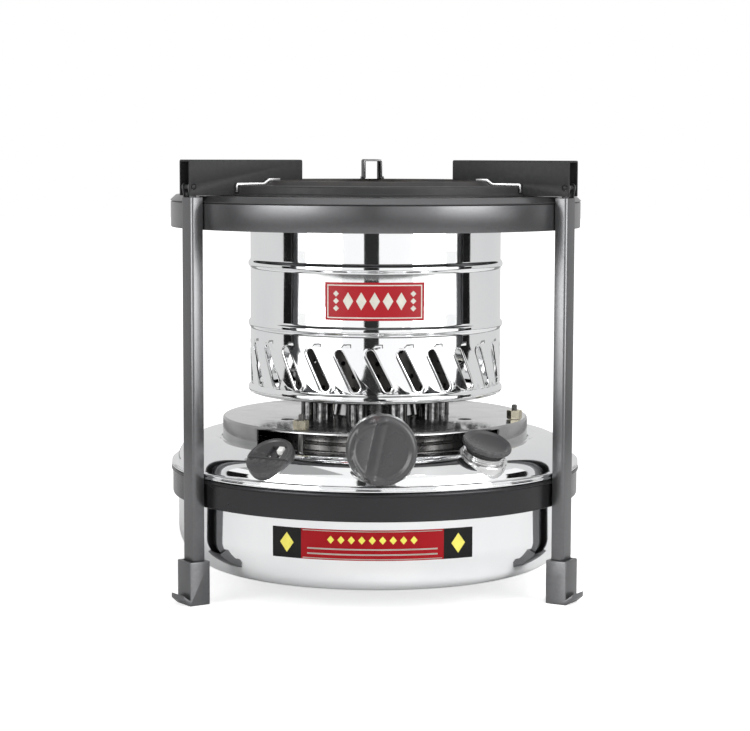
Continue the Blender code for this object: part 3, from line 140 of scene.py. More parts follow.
def offset(path, distance):
    """The path moved sideways, to the right of its direction where the distance is positive."""
    moved_path = []
    for index, point in enumerate(path):
        here = Vector(point)
        before = here - Vector(path[index - 1]) if index else None
        after = Vector(path[index + 1]) - here if index + 1 < len(path) else None
        sides = [Vector((way.y, -way.x)).normalized() for way in (before, after) if way is not None]
        middle = sum(sides, Vector((0.0, 0.0))).normalized()
        moved_path.append(tuple(here + middle * (distance / max(middle.dot(sides[0]), mitre_limit))))
    return moved_path


def skin(path, wall):
    return path + offset(path, wall)[::-1]


def arc(centre, radius, start, end, steps):
    turns = [start + (end - start) * step / steps for step in range(steps + 1)]
    return [(centre[0] + radius * cos(turn), centre[1] + radius * sin(turn)) for turn in turns]


def ring_sector(outer, inner, first, last):
    """The outline of a flat ring's part between two angles."""
    return arc((0.0, 0.0), outer, first, last, bush_ring) + arc((0.0, 0.0), inner, last, first, bush_ring)


def millimetres(pairs):
    return [(a * MM, b * MM) for a, b in pairs]


def both_ways(points):
    """The points, and the same turned by half a circle."""
    return points + [(-x, -y) for x, y in points]


def polar(radius, angle, height=0.0):
    return Vector((radius * cos(angle), radius * sin(angle), height))


def bridged(solid, loops):
    """Join each closed loop of vertices to the next with faces."""
    for low, high in zip(loops, loops[1:]):
        for i in range(len(low)):
            solid.faces.new((low[i - 1], low[i], high[i], high[i - 1]))


def mended(solid, distance=merge_distance):
    """Merge the vertices that meet, and turn the faces outward."""
    bmesh.ops.remove_doubles(solid, verts=solid.verts, dist=distance)
    bmesh.ops.recalc_face_normals(solid, faces=solid.faces)
    return solid


def spun(profile, segments=fine_ring, phase=0.0, closed=True):
    """A solid of revolution about Z from a profile of radius and height."""
    solid = bmesh.new()
    rings = []
    for segment in range(segments):
        angle = phase + TURN * segment / segments
        rings.append([solid.verts.new(polar(r, angle, z)) for r, z in profile])
    count = len(profile)
    for index, ring in enumerate(rings):
        after = rings[(index + 1) % segments]
        for point in range(count if closed else count - 1):
            follow = (point + 1) % count
            if profile[point][0] < merge_distance and profile[follow][0] < merge_distance:
                continue
            solid.faces.new((ring[point], ring[follow], after[follow], after[point]))
    return mended(solid)


def extruded(outline, start, end):
    solid = bmesh.new()
    base = solid.faces.new([solid.verts.new((x, y, start)) for x, y in outline])
    raised = bmesh.ops.extrude_face_region(solid, geom=[base])["geom"]
    lifted = [item for item in raised if isinstance(item, bmesh.types.BMVert)]
    bmesh.ops.translate(solid, vec=(0.0, 0.0, end - start), verts=lifted)
    bmesh.ops.recalc_face_normals(solid, faces=solid.faces)
    return solid


def block(low, high):
    """A box between two corners, given in millimetres."""
    (left, front, foot), (right, back, top) = [[MM * value for value in corner] for corner in (low, high)]
    return extruded([(left, front), (right, front), (right, back), (left, back)], foot, top)


def rod(radius, start, end, sides=pin_ring):
    """An upright rod, given in millimetres."""
    turns = [TURN * side / sides for side in range(sides)]
    outline = millimetres([(radius * cos(turn), radius * sin(turn)) for turn in turns])
    return extruded(outline, start * MM, end * MM)


def moved(solid, matrix):
    bmesh.ops.transform(solid, matrix=matrix, verts=solid.verts)
    return solid


def rods(radius, start, end, sides, places):
    return [moved(rod(radius, start, end, sides), at(place)) for place in places]


def turned(angle):
    return Matrix.Rotation(angle, 4, "Z")


def side_plane(half_width):
    return at((0.0, half_width, 0.0)) @ laid


def joined(solids):
    whole = bmesh.new()
    for solid in solids:
        carrier = bpy.data.meshes.new("carrier")
        solid.to_mesh(carrier)
        solid.free()
        whole.from_mesh(carrier)
        bpy.data.meshes.remove(carrier)
    return whole


# Objects

def plain_object(name, solid):
    mesh = bpy.data.meshes.new(name)
    solid.to_mesh(mesh)
    solid.free()
    made = bpy.data.objects.new(name, mesh)
    bpy.context.collection.objects.link(made)
    return made


def baked(made):
    """Write the modifiers' result into the object's mesh."""
    graph = bpy.context.evaluated_depsgraph_get()
    result = bpy.data.meshes.new_from_object(made.evaluated_get(graph))
    made.modifiers.clear()
    made.data = result
    return made


def combined(made, solids, operation="DIFFERENCE"):
    """Cut an object with meshes, or unite or intersect it with them, and drop these."""
    others = [plain_object("other", solid) for solid in solids]
    for other in others:
        step = made.modifiers.new("step", "BOOLEAN")
        step.operation = operation
        step.solver = "EXACT"
        step.object = other
    baked(made)
    for other in others:
        bpy.data.objects.remove(other, do_unlink=True)
    return made


def softened(made, width=edge_softness, segments=2):
    """Round the object's hard edges a little, so that they catch the light."""
    step = made.modifiers.new("soft", "BEVEL")
    step.width = width
    step.segments = segments
    step.limit_method = "ANGLE"
    step.angle_limit = soft_angle
    step.use_clamp_overlap = True
    return baked(made)


def dressed(made, finishes, body, replaced=()):
    """Give the piece its finishes and its body, and hide the CAD nodes that it stands for."""
    made.data.materials.clear()
    for finish in finishes if isinstance(finishes, (list, tuple)) else (finishes,):
        made.data.materials.append(finish)
    made.data.shade_smooth()
    made.data.set_sharp_from_angle(angle=crease_angle)
    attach(made, body)
    if replaced:
        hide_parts(*replaced)
    return made


def piece(node, solid, finish, body="frame"):
    """The visible piece of one CAD node, where its mesh needs no more work."""
    return dressed(plain_object("fine_" + node, solid), finish, body, [node])


def marked(made, chosen):
    """Give the second finish to the faces that are chosen by their centre and normal."""
    for face in made.data.polygons:
        if chosen(face.center, face.normal):
            face.material_index = 1


# Materials

white = (1.0, 1.0, 1.0, 1.0)
edge_range = (0.52, 0.60)
spot_range = (0.40, 0.62)
patch_range = (0.32, 0.68)
rough_range = (0.3, 0.7)
# The mix node's sockets for its first value, its second value and its result
mix_sockets = {"RGBA": (6, 7, 2), "FLOAT": (2, 3, 0)}


def link(tree, source, target):
    tree.links.new(source, target)


def own_place(tree):
    return tree.nodes.new("ShaderNodeTexCoord").outputs["Object"]


def grain(tree, scale, detail, stretch=(1.0, 1.0, 1.0)):
    """A noise in the object's own metres."""
    mapping = tree.nodes.new("ShaderNodeMapping")
    mapping.inputs["Scale"].default_value = stretch
    texture = tree.nodes.new("ShaderNodeTexNoise")
    texture.inputs["Scale"].default_value = scale
    texture.inputs["Detail"].default_value = detail
    link(tree, own_place(tree), mapping.inputs["Vector"])
    link(tree, mapping.outputs["Vector"], texture.inputs["Vector"])
    return texture.outputs["Fac"]


def ranged(tree, value, low, high, out_low=0.0, out_high=1.0):
    node = tree.nodes.new("ShaderNodeMapRange")
    for name, level in (("From Min", low), ("From Max", high), ("To Min", out_low), ("To Max", out_high)):
        node.inputs[name].default_value = level
    link(tree, value, node.inputs["Value"])
    return node.outputs["Result"]


def maths(tree, operation, first, second):
    node = tree.nodes.new("ShaderNodeMath")
    node.operation = operation
    link(tree, first, node.inputs[0])
    link(tree, second, node.inputs[1])
    return node.outputs["Value"]


def length_of(tree, vector):
    node = tree.nodes.new("ShaderNodeVectorMath")
    node.operation = "LENGTH"
    link(tree, vector, node.inputs[0])
    return node.outputs["Value"]


def blended(tree, factor, first, second, kind="RGBA"):
    """A value between two, each a grey's level, a colour or a socket."""
    node = tree.nodes.new("ShaderNodeMix")
    node.data_type = kind
    link(tree, factor, node.inputs[0])
    first_socket, second_socket, result = mix_sockets[kind]
    for socket, value in ((node.inputs[first_socket], first), (node.inputs[second_socket], second)):
        if isinstance(value, float):
            socket.default_value = (value, value, value, 1.0)
        elif isinstance(value, tuple):
            socket.default_value = (*value, 1.0)
        else:
            link(tree, value, socket)
    return node.outputs[result]


def bumped(tree, height, distance, below=None):
    node = tree.nodes.new("ShaderNodeBump")
    node.inputs["Distance"].default_value = distance
    node.inputs["Strength"].default_value = 1.0
    link(tree, height, node.inputs["Height"])
    if below is not None:
        link(tree, below, node.inputs["Normal"])
    return node.outputs["Normal"]


def finish_base(name, metallic, specular=0.5):
    made = bpy.data.materials.new(name)
    made.use_nodes = True
    tree = made.node_tree
    shader = tree.nodes["Principled BSDF"]
    shader.inputs["Metallic"].default_value = metallic
    shader.inputs["Specular IOR Level"].default_value = specular
    return made, tree, shader


def worn(tree, amount):
    """A mask along convex edges, broken up by noise."""
    shape = tree.nodes.new("ShaderNodeNewGeometry")
    edge = ranged(tree, shape.outputs["Pointiness"], *edge_range)
    spots = ranged(tree, grain(tree, 420.0, 4.0), *spot_range, 0.0, amount)
    return maths(tree, "MULTIPLY", edge, spots)


def mottled(name, dark, light, rough, metallic, scale, fine_scale, bump, stretch=(1.0, 1.0, 1.0),
            wear=None, wear_amount=0.12, specular=0.5, wave=None):
    """A finish whose colour, roughness and surface vary over broad patches and a fine grain."""
    made, tree, shader = finish_base(name, metallic, specular)
    colour = blended(tree, ranged(tree, grain(tree, scale, 4.0, stretch), *patch_range), dark, light)
    if wear is not None:
        colour = blended(tree, worn(tree, wear_amount), colour, wear)
    link(tree, colour, shader.inputs["Base Color"])
    spread = grain(tree, 2.3 * scale, 5.0, stretch)
    link(tree, ranged(tree, spread, *rough_range, *rough), shader.inputs["Roughness"])
    below = bumped(tree, grain(tree, wave[0], 1.0), wave[1]) if wave is not None else None
    fine = grain(tree, fine_scale, 2.0, stretch)
    link(tree, bumped(tree, fine, bump, below), shader.inputs["Normal"])
    return made


def cotton_finish():
    """Braided wick cotton: slanted strands both ways, with fuzz."""
    made, tree, shader = finish_base("fine_cotton", 0.0, 0.2)
    slant = radians(38.0)
    strands = []
    for lean in (slant, -slant):
        mapping = tree.nodes.new("ShaderNodeMapping")
        mapping.inputs["Rotation"].default_value = (lean, lean, 0.0)
        wave = tree.nodes.new("ShaderNodeTexWave")
        wave.inputs["Scale"].default_value = 260.0
        wave.inputs["Distortion"].default_value = 1.5
        link(tree, own_place(tree), mapping.inputs["Vector"])
        link(tree, mapping.outputs["Vector"], wave.inputs["Vector"])
        strands.append(wave.outputs["Fac"])
    crossing = maths(tree, "MAXIMUM", *strands)
    link(tree, blended(tree, crossing, (0.52, 0.48, 0.38), (0.86, 0.83, 0.74)), shader.inputs["Base Color"])
    shader.inputs["Roughness"].default_value = 0.95
    shader.inputs["Sheen Weight"].default_value = 0.3
    fuzz = bumped(tree, grain(tree, 2400.0, 3.0), 0.15 * MM)
    link(tree, bumped(tree, crossing, 0.5 * MM, fuzz), shader.inputs["Normal"])
    return made


def heat_stained(name, dark, light, rough, stain):
    """Black enamel that dulls and browns towards the flame opening."""
    made, tree, shader = finish_base(name, 0.0, 0.3)
    flat = tree.nodes.new("ShaderNodeVectorMath")
    flat.operation = "MULTIPLY"
    flat.inputs[1].default_value = (1.0, 1.0, 0.0)
    link(tree, own_place(tree), flat.inputs[0])
    near = ranged(tree, length_of(tree, flat.outputs["Vector"]), 100.0 * MM, 78.0 * MM, 0.0, 0.7)
    patches = ranged(tree, grain(tree, 70.0, 5.0), 0.35, 0.65)
    base = blended(tree, patches, dark, light)
    stained = maths(tree, "MULTIPLY", near, patches)
    link(tree, blended(tree, stained, base, stain), shader.inputs["Base Color"])
    link(tree, ranged(tree, grain(tree, 160.0, 4.0), *rough_range, *rough), shader.inputs["Roughness"])
    link(tree, bumped(tree, grain(tree, 1500.0, 2.0), 0.03 * MM), shader.inputs["Normal"])
    return made


paint = mottled("fine_frame_paint", (0.146, 0.147, 0.151), (0.158, 0.159, 0.163), (0.28, 0.32), 0.90,
                9.0, 1500.0, 0.0006 * MM, wear=(0.30, 0.30, 0.31))
# The mid band's paint is the frame paint made darker: painted shade, for a band that gets less light.
shaded_band_paint = mottled("fine_band_paint", (0.040, 0.040, 0.042), (0.046, 0.046, 0.048), (0.24, 0.28), 0.92,
                     9.0, 1500.0, 0.0006 * MM, wear=(0.20, 0.20, 0.21))
enamel = mottled("fine_black_enamel", (0.022, 0.022, 0.023), (0.026, 0.026, 0.027), (0.46, 0.52), 0.0,
                 6.0, 1500.0, 0.002 * MM, wear=0.10, specular=0.2)
plate_enamel = heat_stained("fine_plate_enamel", (0.022, 0.022, 0.023), (0.028, 0.028, 0.029),
                            (0.46, 0.56), (0.045, 0.036, 0.030))
chrome = mottled("fine_chrome", (0.88, 0.89, 0.90), (0.93, 0.935, 0.94), (0.03, 0.09), 1.0,
                 30.0, 2600.0, 0.001 * MM, stretch=(1.0, 1.0, 0.35), wave=(26.0, 0.10 * MM))
steel = mottled("fine_satin_steel", 0.62, 0.70, (0.10, 0.20), 0.95, 30.0, 1800.0, 0.003 * MM,
                wear=(0.80, 0.80, 0.79), wear_amount=0.3, wave=(40.0, 0.06 * MM))
# A darker copy of the plate's steel for the rim's side faces: painted shade.
shaded_rim_steel = mottled("fine_rim_steel", 0.34, 0.42, (0.12, 0.22), 0.95, 40.0, 1800.0, 0.003 * MM)
tube_steel = mottled("fine_tube_steel", 0.03, 0.13, (0.08, 0.20), 0.9, 380.0, 1500.0, 0.02 * MM)
# A bright metal for edges: a painted highlight on the rear support's ends, and on the slot lips bare metal
# that is partly a painted highlight.
bright_edge_highlight = mottled("fine_cut_edge", 0.34, 0.44, (0.24, 0.34), 0.9, 60.0, 2500.0, 0.003 * MM)
# A bright bare metal: the filler neck's own, and on the top plate's slot edges partly a painted highlight.
bare_metal_and_highlight = mottled("fine_bare_edge", 0.66, 0.80, (0.12, 0.22), 0.95, 60.0, 2500.0, 0.003 * MM)
burnt_steel = mottled("fine_burnt_steel", (0.035, 0.033, 0.031), (0.085, 0.08, 0.075), (0.28, 0.50), 0.8,
                      120.0, 1400.0, 0.02 * MM, stretch=(1.0, 1.0, 0.3))
dark_steel = mottled("fine_dark_steel", (0.16, 0.158, 0.155), (0.26, 0.255, 0.25), (0.18, 0.34), 0.85,
                     60.0, 1400.0, 0.012 * MM, stretch=(1.0, 1.0, 0.3))
brass = mottled("fine_brass", (0.66, 0.61, 0.46), (0.78, 0.73, 0.58), (0.20, 0.30), 1.0,
                60.0, 1800.0, 0.001 * MM)
plastic = mottled("fine_dark_plastic", (0.050, 0.050, 0.052), (0.060, 0.060, 0.062), (0.24, 0.32), 0.0,
                  24.0, 2400.0, 0.006 * MM, wear=0.16, wear_amount=0.4)
rubber = mottled("fine_rubber", 0.02, (0.035, 0.035, 0.034), (0.7, 0.9), 0.0, 90.0, 900.0, 0.06 * MM)
cotton = cotton_finish()
white_plastic = mottled("fine_white_plastic", (0.74, 0.74, 0.72), (0.84, 0.84, 0.82), (0.35, 0.5), 0.0,
                        80.0, 1500.0, 0.02 * MM)
red_lacquer = mottled("fine_red_lacquer", (0.33, 0.010, 0.016), (0.37, 0.014, 0.022), (0.30, 0.40), 0.0,
                      20.0, 1300.0, 0.004 * MM, specular=0.2)
red_print = mottled("fine_red_print", (0.46, 0.010, 0.016), (0.52, 0.014, 0.022), (0.30, 0.40), 0.0,
                    20.0, 1300.0, 0.004 * MM, specular=0.2)
black_lacquer = mottled("fine_black_lacquer", 0.010, 0.018, (0.30, 0.40), 0.0, 30.0, 1300.0, 0.004 * MM,
                        specular=0.25)
cream_ink = mottled("fine_cream_ink", (0.56, 0.54, 0.48), (0.64, 0.62, 0.56), (0.35, 0.5), 0.0,
                    200.0, 1500.0, 0.01 * MM)
yellow_ink = mottled("fine_yellow_ink", (0.62, 0.55, 0.07), (0.70, 0.64, 0.10), (0.35, 0.5), 0.0,
                     200.0, 1500.0, 0.01 * MM)

cad_finishes = {
    "frame_paint": paint, "black_enamel": enamel, "chrome": chrome, "satin_steel": steel,
    "dark_steel": dark_steel, "brass": brass, "dark_plastic": plastic, "rubber": rubber,
    "cotton": cotton, "white_plastic": white_plastic,
}
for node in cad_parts.values():
    for place in node.material_slots:
        base = place.material.name.split(".")[0] if place.material else "dark_steel"
        place.material = cad_finishes.get(base, dark_steel)


# Frame

def leg_section():
    half = 0.5 * leg_width
    corners = [(leg_inner, -half), (leg_outer, -half), (leg_outer, half), (leg_inner, half)]
    return skin(rounded(corners, leg_bend), -leg_wall)


def hinge_lug():
    """A lug with a round head in the plane of X and Z, centred on Y."""
    radius = 2.8 * MM
    foot = leg_top - 0.6 * MM
    outline = arc((hinge_reach, hinge_height), radius, 0.0, pi, 2 * bend_steps)
    outline += [(hinge_reach - radius, foot), (hinge_reach + 1.5 * MM, foot)]
    return moved(extruded(outline, 0.0, 1.2 * MM), side_plane(0.6 * MM))


def make_legs():
    """Each leg's channel, with a cap on top and the two lugs of its hinge."""
    inset = 0.6 * MM
    half = 0.5 * leg_width - inset
    near = leg_inner + clearance
    far = leg_outer - inset
    cap = rounded([(near, half), (near, -half), (far, -half), (far, half)], 1.4 * MM, closed=True)
    lug_shift = 3.9 * MM
    for side, angle in legs:
        parts = [extruded(leg_section(), leg_foot, leg_top),
                 extruded(cap, leg_top - leg_wall, leg_top - 0.05 * MM)]
        parts += [moved(hinge_lug(), at((0.0, shift, 0.0))) for shift in (-lug_shift, lug_shift)]
        leg = softened(plain_object("fine_leg_" + side, moved(joined(parts), turned(angle))))
        dressed(leg, paint, "frame", ["leg_" + side])


def make_feet():
    """Shoes whose toes turn up a little, with the leg's pocket."""
    half = 8.2 * MM
    outline = millimetres([(132.3, 0.0), (146.7, 0.0), (151.3, 4.0), (151.3, 7.4), (146.7, 3.9),
                           (146.7, 28.0), (132.3, 28.0)])
    for side, angle in legs:
        foot = plain_object("fine_foot_" + side, moved(extruded(outline, 0.0, 2.0 * half), side_plane(half)))
        combined(foot, [block((135.0, -6.8, 3.4), (143.8, 6.8, 40.0))])
        softened(foot, 0.9 * MM, 3)
        foot.data.transform(turned(angle))
        dressed(foot, paint, "frame", ["foot_" + side])


def make_bands():
    """The top band with its shelf, and the mid band with a bead along its top."""
    path = millimetres([(134.5, 237.0), (134.8, 237.5), (134.8, 253.3), (134.2, 253.7), (134.9, 254.2)])
    path += rounded(millimetres([(135.0, 254.6), (131.4, 257.9), (105.0, 258.0)]), 1.2 * MM)
    path += millimetres([(105.0, 256.8), (130.6, 256.8), (133.6, 253.6), (133.6, 237.6), (133.9, 237.0)])
    piece("top_band", spun(path), paint)
    path = rounded(millimetres([(131.6, 61.8), (134.4, 61.8), (134.4, 76.4)]), 1.0 * MM)
    path += arc((134.0 * MM, 78.3 * MM), 1.35 * MM, -0.35 * pi, 0.95 * pi, 2 * bend_steps)
    path += millimetres([(133.2, 77.4), (133.2, 63.0), (131.6, 63.0)])
    # The mid band takes the darker paint, as painted shade.
    piece("mid_band", spun(path), shaded_band_paint)


def make_top_plate():
    """The stepped ring, whose slots show bare metal on their cut edges, made bright partly as a painted
    highlight.
    """
    path = rounded(millimetres([(112.9, 259.3), (110.5, 259.3), (110.5, 264.6), (91.0, 264.6),
                                (87.0, 267.3), (78.0, 267.3), (78.0, 263.7)]), 1.3 * MM)
    plate = plain_object("fine_top_plate", spun(skin(path, -1.0 * MM)))
    slots = [moved(block((79.3, -6.6, 255.0), (116.0, 6.6, 270.0)), turned(angle)) for angle in leg_angles]
    combined(plate, [joined(slots)])
    dressed(plate, [plate_enamel, bare_metal_and_highlight], "frame", ["top_plate"])

    def beside_slot(centre, normal):
        for angle in leg_angles:
            across = polar(1.0, angle + 0.5 * pi)
            on_cut = abs(abs(centre.dot(across)) - slot_half_width) < 0.05 * MM
            outward = centre.dot(polar(1.0, angle)) > 0.0 and hypot(centre.x, centre.y) > 79.0 * MM
            if on_cut and outward and abs(normal.dot(across)) > facing:
                return True
        return False

    marked(plate, beside_slot)


def make_slot_lips():
    """The raised bare edges on both sides of each slot in the top plate, in a bright metal that is partly a
    painted highlight.
    """
    outline = millimetres([(79.5, 267.3), (86.8, 267.3), (90.8, 264.6), (110.5, 264.6), (110.5, 260.3),
                           (111.9, 260.3), (111.9, 265.4), (111.1, 266.3), (91.8, 266.3), (87.8, 269.0),
                           (79.5, 269.0)])
    wide = 1.6 * MM
    edge = slot_half_width + 0.05 * MM
    for side, angle in legs:
        lips = [moved(extruded(outline, 0.0, wide), side_plane(start)) for start in (edge + wide, -edge)]
        lip = plain_object("fine_slot_lip_" + side, moved(joined(lips), turned(angle)))
        dressed(softened(lip, 0.2 * MM), bright_edge_highlight, "frame")


def make_pan_supports():
    """Hollow arms on the hinges, rounded along the top."""
    half = 6.3 * MM
    outline = [(support_outer, 258.4 * MM), (support_outer, support_top), (support_inner, support_top)]
    outline += millimetres([(61.5, 267.8), (80.5, 267.8), (80.5, 258.4)])
    for side, angle in legs:
        solid = moved(extruded(outline, 0.0, 2.0 * half), side_plane(half))
        edges = [edge for edge in solid.edges
                 if all(abs(vert.co.z - support_top) < merge_distance for vert in edge.verts)
                 and abs(edge.verts[0].co.x - edge.verts[1].co.x) > 2.0 * half]
        bmesh.ops.bevel(solid, geom=edges, offset=1.4 * MM, segments=4, profile=0.5, affect="EDGES")
        support = plain_object("fine_pan_support_" + side, solid)
        hollow = block((55.0, -5.1, 255.0), (150.0, 5.1, 279.5))
        bore = moved(rod(1.8, -9.0, 9.0), at((hinge_reach, 0.0, hinge_height)) @ laid)
        softened(combined(support, [hollow, bore]), 0.22 * MM)
        support.data.transform(turned(angle))
        # Only the rear support's end faces take the bright edge finish, a painted highlight: the same ends of
        # the left and right supports stay enamel.
        dressed(support, [enamel, bright_edge_highlight if side == "rear" else enamel],
                "support_" + side, ["pan_support_" + side])
        along = polar(1.0, angle)

        def at_end(centre, normal):
            reach = centre.dot(along)
            gap = min(abs(reach - support_inner), abs(reach - support_outer))
            return gap < 0.3 * MM and abs(normal.dot(along)) > facing

        marked(support, at_end)


def make_hinge_pins():
    """Rivets with low domed heads."""
    dome = millimetres([(0.0, -6.8), (0.9, -6.72), (1.35, -6.5), (1.5, -6.3)])
    profile = dome + [(r, -z) for r, z in dome[::-1]]
    for side, angle in legs:
        place = at(polar(hinge_reach, angle, hinge_height)) @ turned(angle) @ laid
        piece("hinge_pin_" + side, moved(spun(profile, pin_ring), place), enamel)


# Tank

def fitting(angle, reach, height, tilt):
    """The place of a fitting on the tank's shoulder, leaning outward."""
    return at(polar(reach, angle, height)) @ turned(angle) @ Matrix.Rotation(tilt, 4, "Y")


filler_place = fitting(FRONT + radians(32.7), 119.0 * MM, 96.3 * MM, radians(23.3))
gauge_place = fitting(FRONT - radians(33.9), 117.9 * MM, 91.8 * MM, radians(35.0))


def tank_top_path():
    """The outside of the tank's top: its rolled seam, its shoulder and the well round the burner."""
    seam = rounded(millimetres([(134.6, 80.0), (135.0, 80.4), (135.0, 81.7), (134.2, 81.95), (134.2, 82.15),
                                (135.0, 82.4), (135.0, 83.2), (134.2, 83.8), (131.3, 83.8)]), 0.3 * MM, 2)
    steps = 24
    rise = []
    for step in range(1, steps + 1):
        turn = 0.5 * pi * step / steps
        rise.append((131.0 - 22.0 * (1.0 - cos(turn)), 83.9 + 16.1 * sin(turn)))
    rise = millimetres(rise)
    well = [rise[-1]] + millimetres([(107.0, 100.0), (103.2, 97.4), (100.8, 93.0), (72.0, 93.0)])
    return (millimetres([(133.2, 80.0)]) + seam + rise[:-1] + rounded(well, 1.0 * MM)
            + millimetres([(72.0, 90.0)]))


def make_tank():
    """The tank's top with the filler's bore, and its base with a rounded foot."""
    inside = millimetres([(73.0, 90.0), (73.0, 92.0), (101.6, 92.0), (104.0, 96.6), (108.0, 98.9),
                          (119.0, 97.0), (126.0, 92.5), (129.6, 86.0), (130.2, 82.8), (133.8, 82.6),
                          (133.9, 81.2), (133.2, 81.0)])
    top = plain_object("fine_tank_top", spun(tank_top_path() + inside))
    combined(top, [moved(rod(12.0, -14.0, 14.0, bush_ring), filler_place)])
    dressed(top, chrome, "frame", ["tank_top"])
    path = millimetres([(132.1, 82.5), (131.3, 81.5), (130.7, 80.1)])
    path += arc(tank_corner, tank_corner_radius, 0.0, -0.5 * pi, 20)
    path += rounded([path[-1]] + millimetres([(92.7, 14.6), (86.7, 18.1), (0.0, 18.1)]), 2.0 * MM)[1:]
    inner = offset(path, 1.0 * MM)
    inner[-1] = (0.0, 19.1 * MM)
    piece("tank_base", spun(path + inner[::-1]), chrome)


def make_filler():
    """The ribbed neck and the dished screw cap, whose edge is finely grooved."""
    path = millimetres([(11.2, -6.5), (15.4, -6.5), (15.4, 1.1), (15.0, 1.6), (12.8, 1.6), (12.5, 1.9),
                        (13.4, 2.4), (13.4, 2.7), (12.5, 3.2), (13.35, 3.7), (13.35, 4.0), (12.5, 4.5),
                        (13.3, 5.0), (13.3, 5.3), (12.6, 5.8), (11.2, 5.8)])
    piece("filler_neck", moved(spun(path, small_ring), filler_place), bare_metal_and_highlight)
    profile = [(0.0, 1.6), (10.9, 1.6), (10.9, 9.0), (15.0, 9.0), (15.5, 9.3), (15.7, 9.8), (15.7, 10.8),
               (15.3, 11.7), (14.5, 12.1), (13.7, 11.9), (12.9, 11.2), (11.7, 10.8), (0.0, 10.65)]
    sides = 2 * small_ring
    groove_share = 0.985
    solid = spun(millimetres(profile), sides)
    for vert in solid.verts:
        side = round(atan2(vert.co.y, vert.co.x) * sides / TURN)
        if side % 2 and hypot(vert.co.x, vert.co.y) > 15.5 * MM:
            vert.co.x *= groove_share
            vert.co.y *= groove_share
    piece("filler_cap", moved(solid, filler_place), plastic, "cap")


def make_gauge():
    """The gauge's housing with its raised rim, stepped face and window, and the float with its flag."""
    path = millimetres([(0.0, -4.0), (15.5, -4.0), (15.5, 7.8), (15.1, 8.8), (14.4, 9.4), (13.6, 9.5),
                        (12.8, 9.1), (12.4, 8.6), (0.0, 8.6)])
    housing = plain_object("fine_gauge_housing", spun(path, 2 * small_ring))
    step = block((3.0, -20.0, 7.6), (20.0, 20.0, 14.0))
    window = block((-8.2, -1.8, 5.9), (1.8, 8.8, 14.0))
    softened(combined(housing, [step, window, rod(1.7, -8.0, 8.0)]), 0.3 * MM)
    housing.data.transform(gauge_place)
    dressed(housing, plastic, "frame", ["gauge_housing"])
    profile = millimetres([(0.0, -46.0), (7.4, -46.0), (9.0, -44.4), (9.0, -33.6), (7.4, -32.0),
                           (1.1, -31.6), (1.1, 8.0), (0.0, 8.0)])
    gauge_float = plain_object("fine_gauge_float", spun(profile, bush_ring))
    arm = block((-4.0, -0.7, 6.3), (0.5, 4.8, 7.0))
    flag = block((-7.0, 4.3, 6.3), (-2.8, 8.0, 9.8))
    softened(combined(gauge_float, [arm, flag], "UNION"), 0.3 * MM)
    dark_faces = [face.index for face in gauge_float.data.polygons
                  if face.center.z > 0.0 and not (face.center.x < -2.7 * MM and face.center.y > 4.2 * MM)]
    gauge_float.data.transform(gauge_place)
    dressed(gauge_float, [white_plastic, plastic], "fuel_float", ["gauge_float"])
    for index in dark_faces:
        gauge_float.data.polygons[index].material_index = 1


# Burner

shaft_line = at((0.0, 0.0, shaft_height)) @ laid
wick_places = [polar(wick_circle, FRONT + TURN * (index + 0.5) / wick_count) for index in range(wick_count)]
stud_angles = (FRONT - radians(31.0), FRONT + radians(72.0), FRONT + radians(195.0))
stud_places = [polar(stud_circle, angle) for angle in stud_angles]
rod_places = [polar(rod_circle, angle) for angle in (FRONT - radians(63.0), FRONT + radians(63.0))]


def make_burner_base():
    """The pan with its beaded collar, notched for the knob's shaft."""
    path = rounded(millimetres([(56.0, 94.6), (96.6, 94.6), (96.6, 98.9), (95.4, 98.9), (95.4, 95.8),
                                (71.4, 95.8), (71.4, 99.2), (70.0, 99.9), (71.3, 100.6), (70.0, 101.3),
                                (70.0, 104.0), (70.9, 104.7), (70.0, 105.4), (70.0, 110.5), (68.8, 110.5),
                                (68.8, 95.8), (56.0, 95.8)]), 0.35 * MM, 3)
    base = combined(plain_object("fine_burner_base", spun(path)), [moved(rod(4.0, 60.0, 76.0), shaft_line)])
    dressed(base, dark_steel, "frame", ["burner_base"])


def make_burner_plate():
    """The plate with its holes, open at the front of its skirt where the collar shows."""
    path = rounded(millimetres([(101.5, 97.6), (101.2, 98.2), (101.2, 112.0), (28.0, 112.0), (26.5, 123.8),
                                (0.0, 123.8)]), 1.6 * MM)
    path += rounded(millimetres([(0.0, 122.6), (25.4, 122.6), (26.9, 110.8), (100.0, 110.8),
                                 (100.0, 97.6)]), 0.8 * MM)
    segments = 144
    plate = plain_object("fine_burner_plate", spun(path, segments, pi / segments))
    low = 108.0
    high = 116.0
    holes = rods(wick_hole, low, high, hole_ring, wick_places)
    holes += rods(4.5, low, high, hole_ring, rod_places)
    holes += rods(stud_hole, low, high, pin_ring, stud_places)
    half = radians(49.5)
    opening = extruded(ring_sector(106.0 * MM, 97.9 * MM, FRONT - half, FRONT + half), 95.0 * MM, 110.2 * MM)
    combined(plate, [joined(holes), opening])
    dressed(plate, [steel, shaded_rim_steel], "frame", ["burner_plate"])
    # The rim's side faces take the darker steel, as painted shade.
    marked(plate, lambda centre, normal: hypot(centre.x, centre.y) > 95.0 * MM and normal.z < 0.93)


def make_wick_tubes():
    """The ten tubes and the ring that they are brazed to."""
    parts = [spun(millimetres([(34.0, 96.1), (61.0, 96.1), (61.0, 97.3), (34.0, 97.3)]), sleeve_ring)]
    path = millimetres([(6.5, 96.1), (6.5, 127.9), (6.35, 128.4), (6.1, 128.5), (5.8, 128.4), (5.7, 127.9),
                        (5.7, 96.1)])
    parts += [moved(spun(path, hole_ring), at(place)) for place in wick_places]
    piece("wick_tubes", joined(parts), tube_steel)


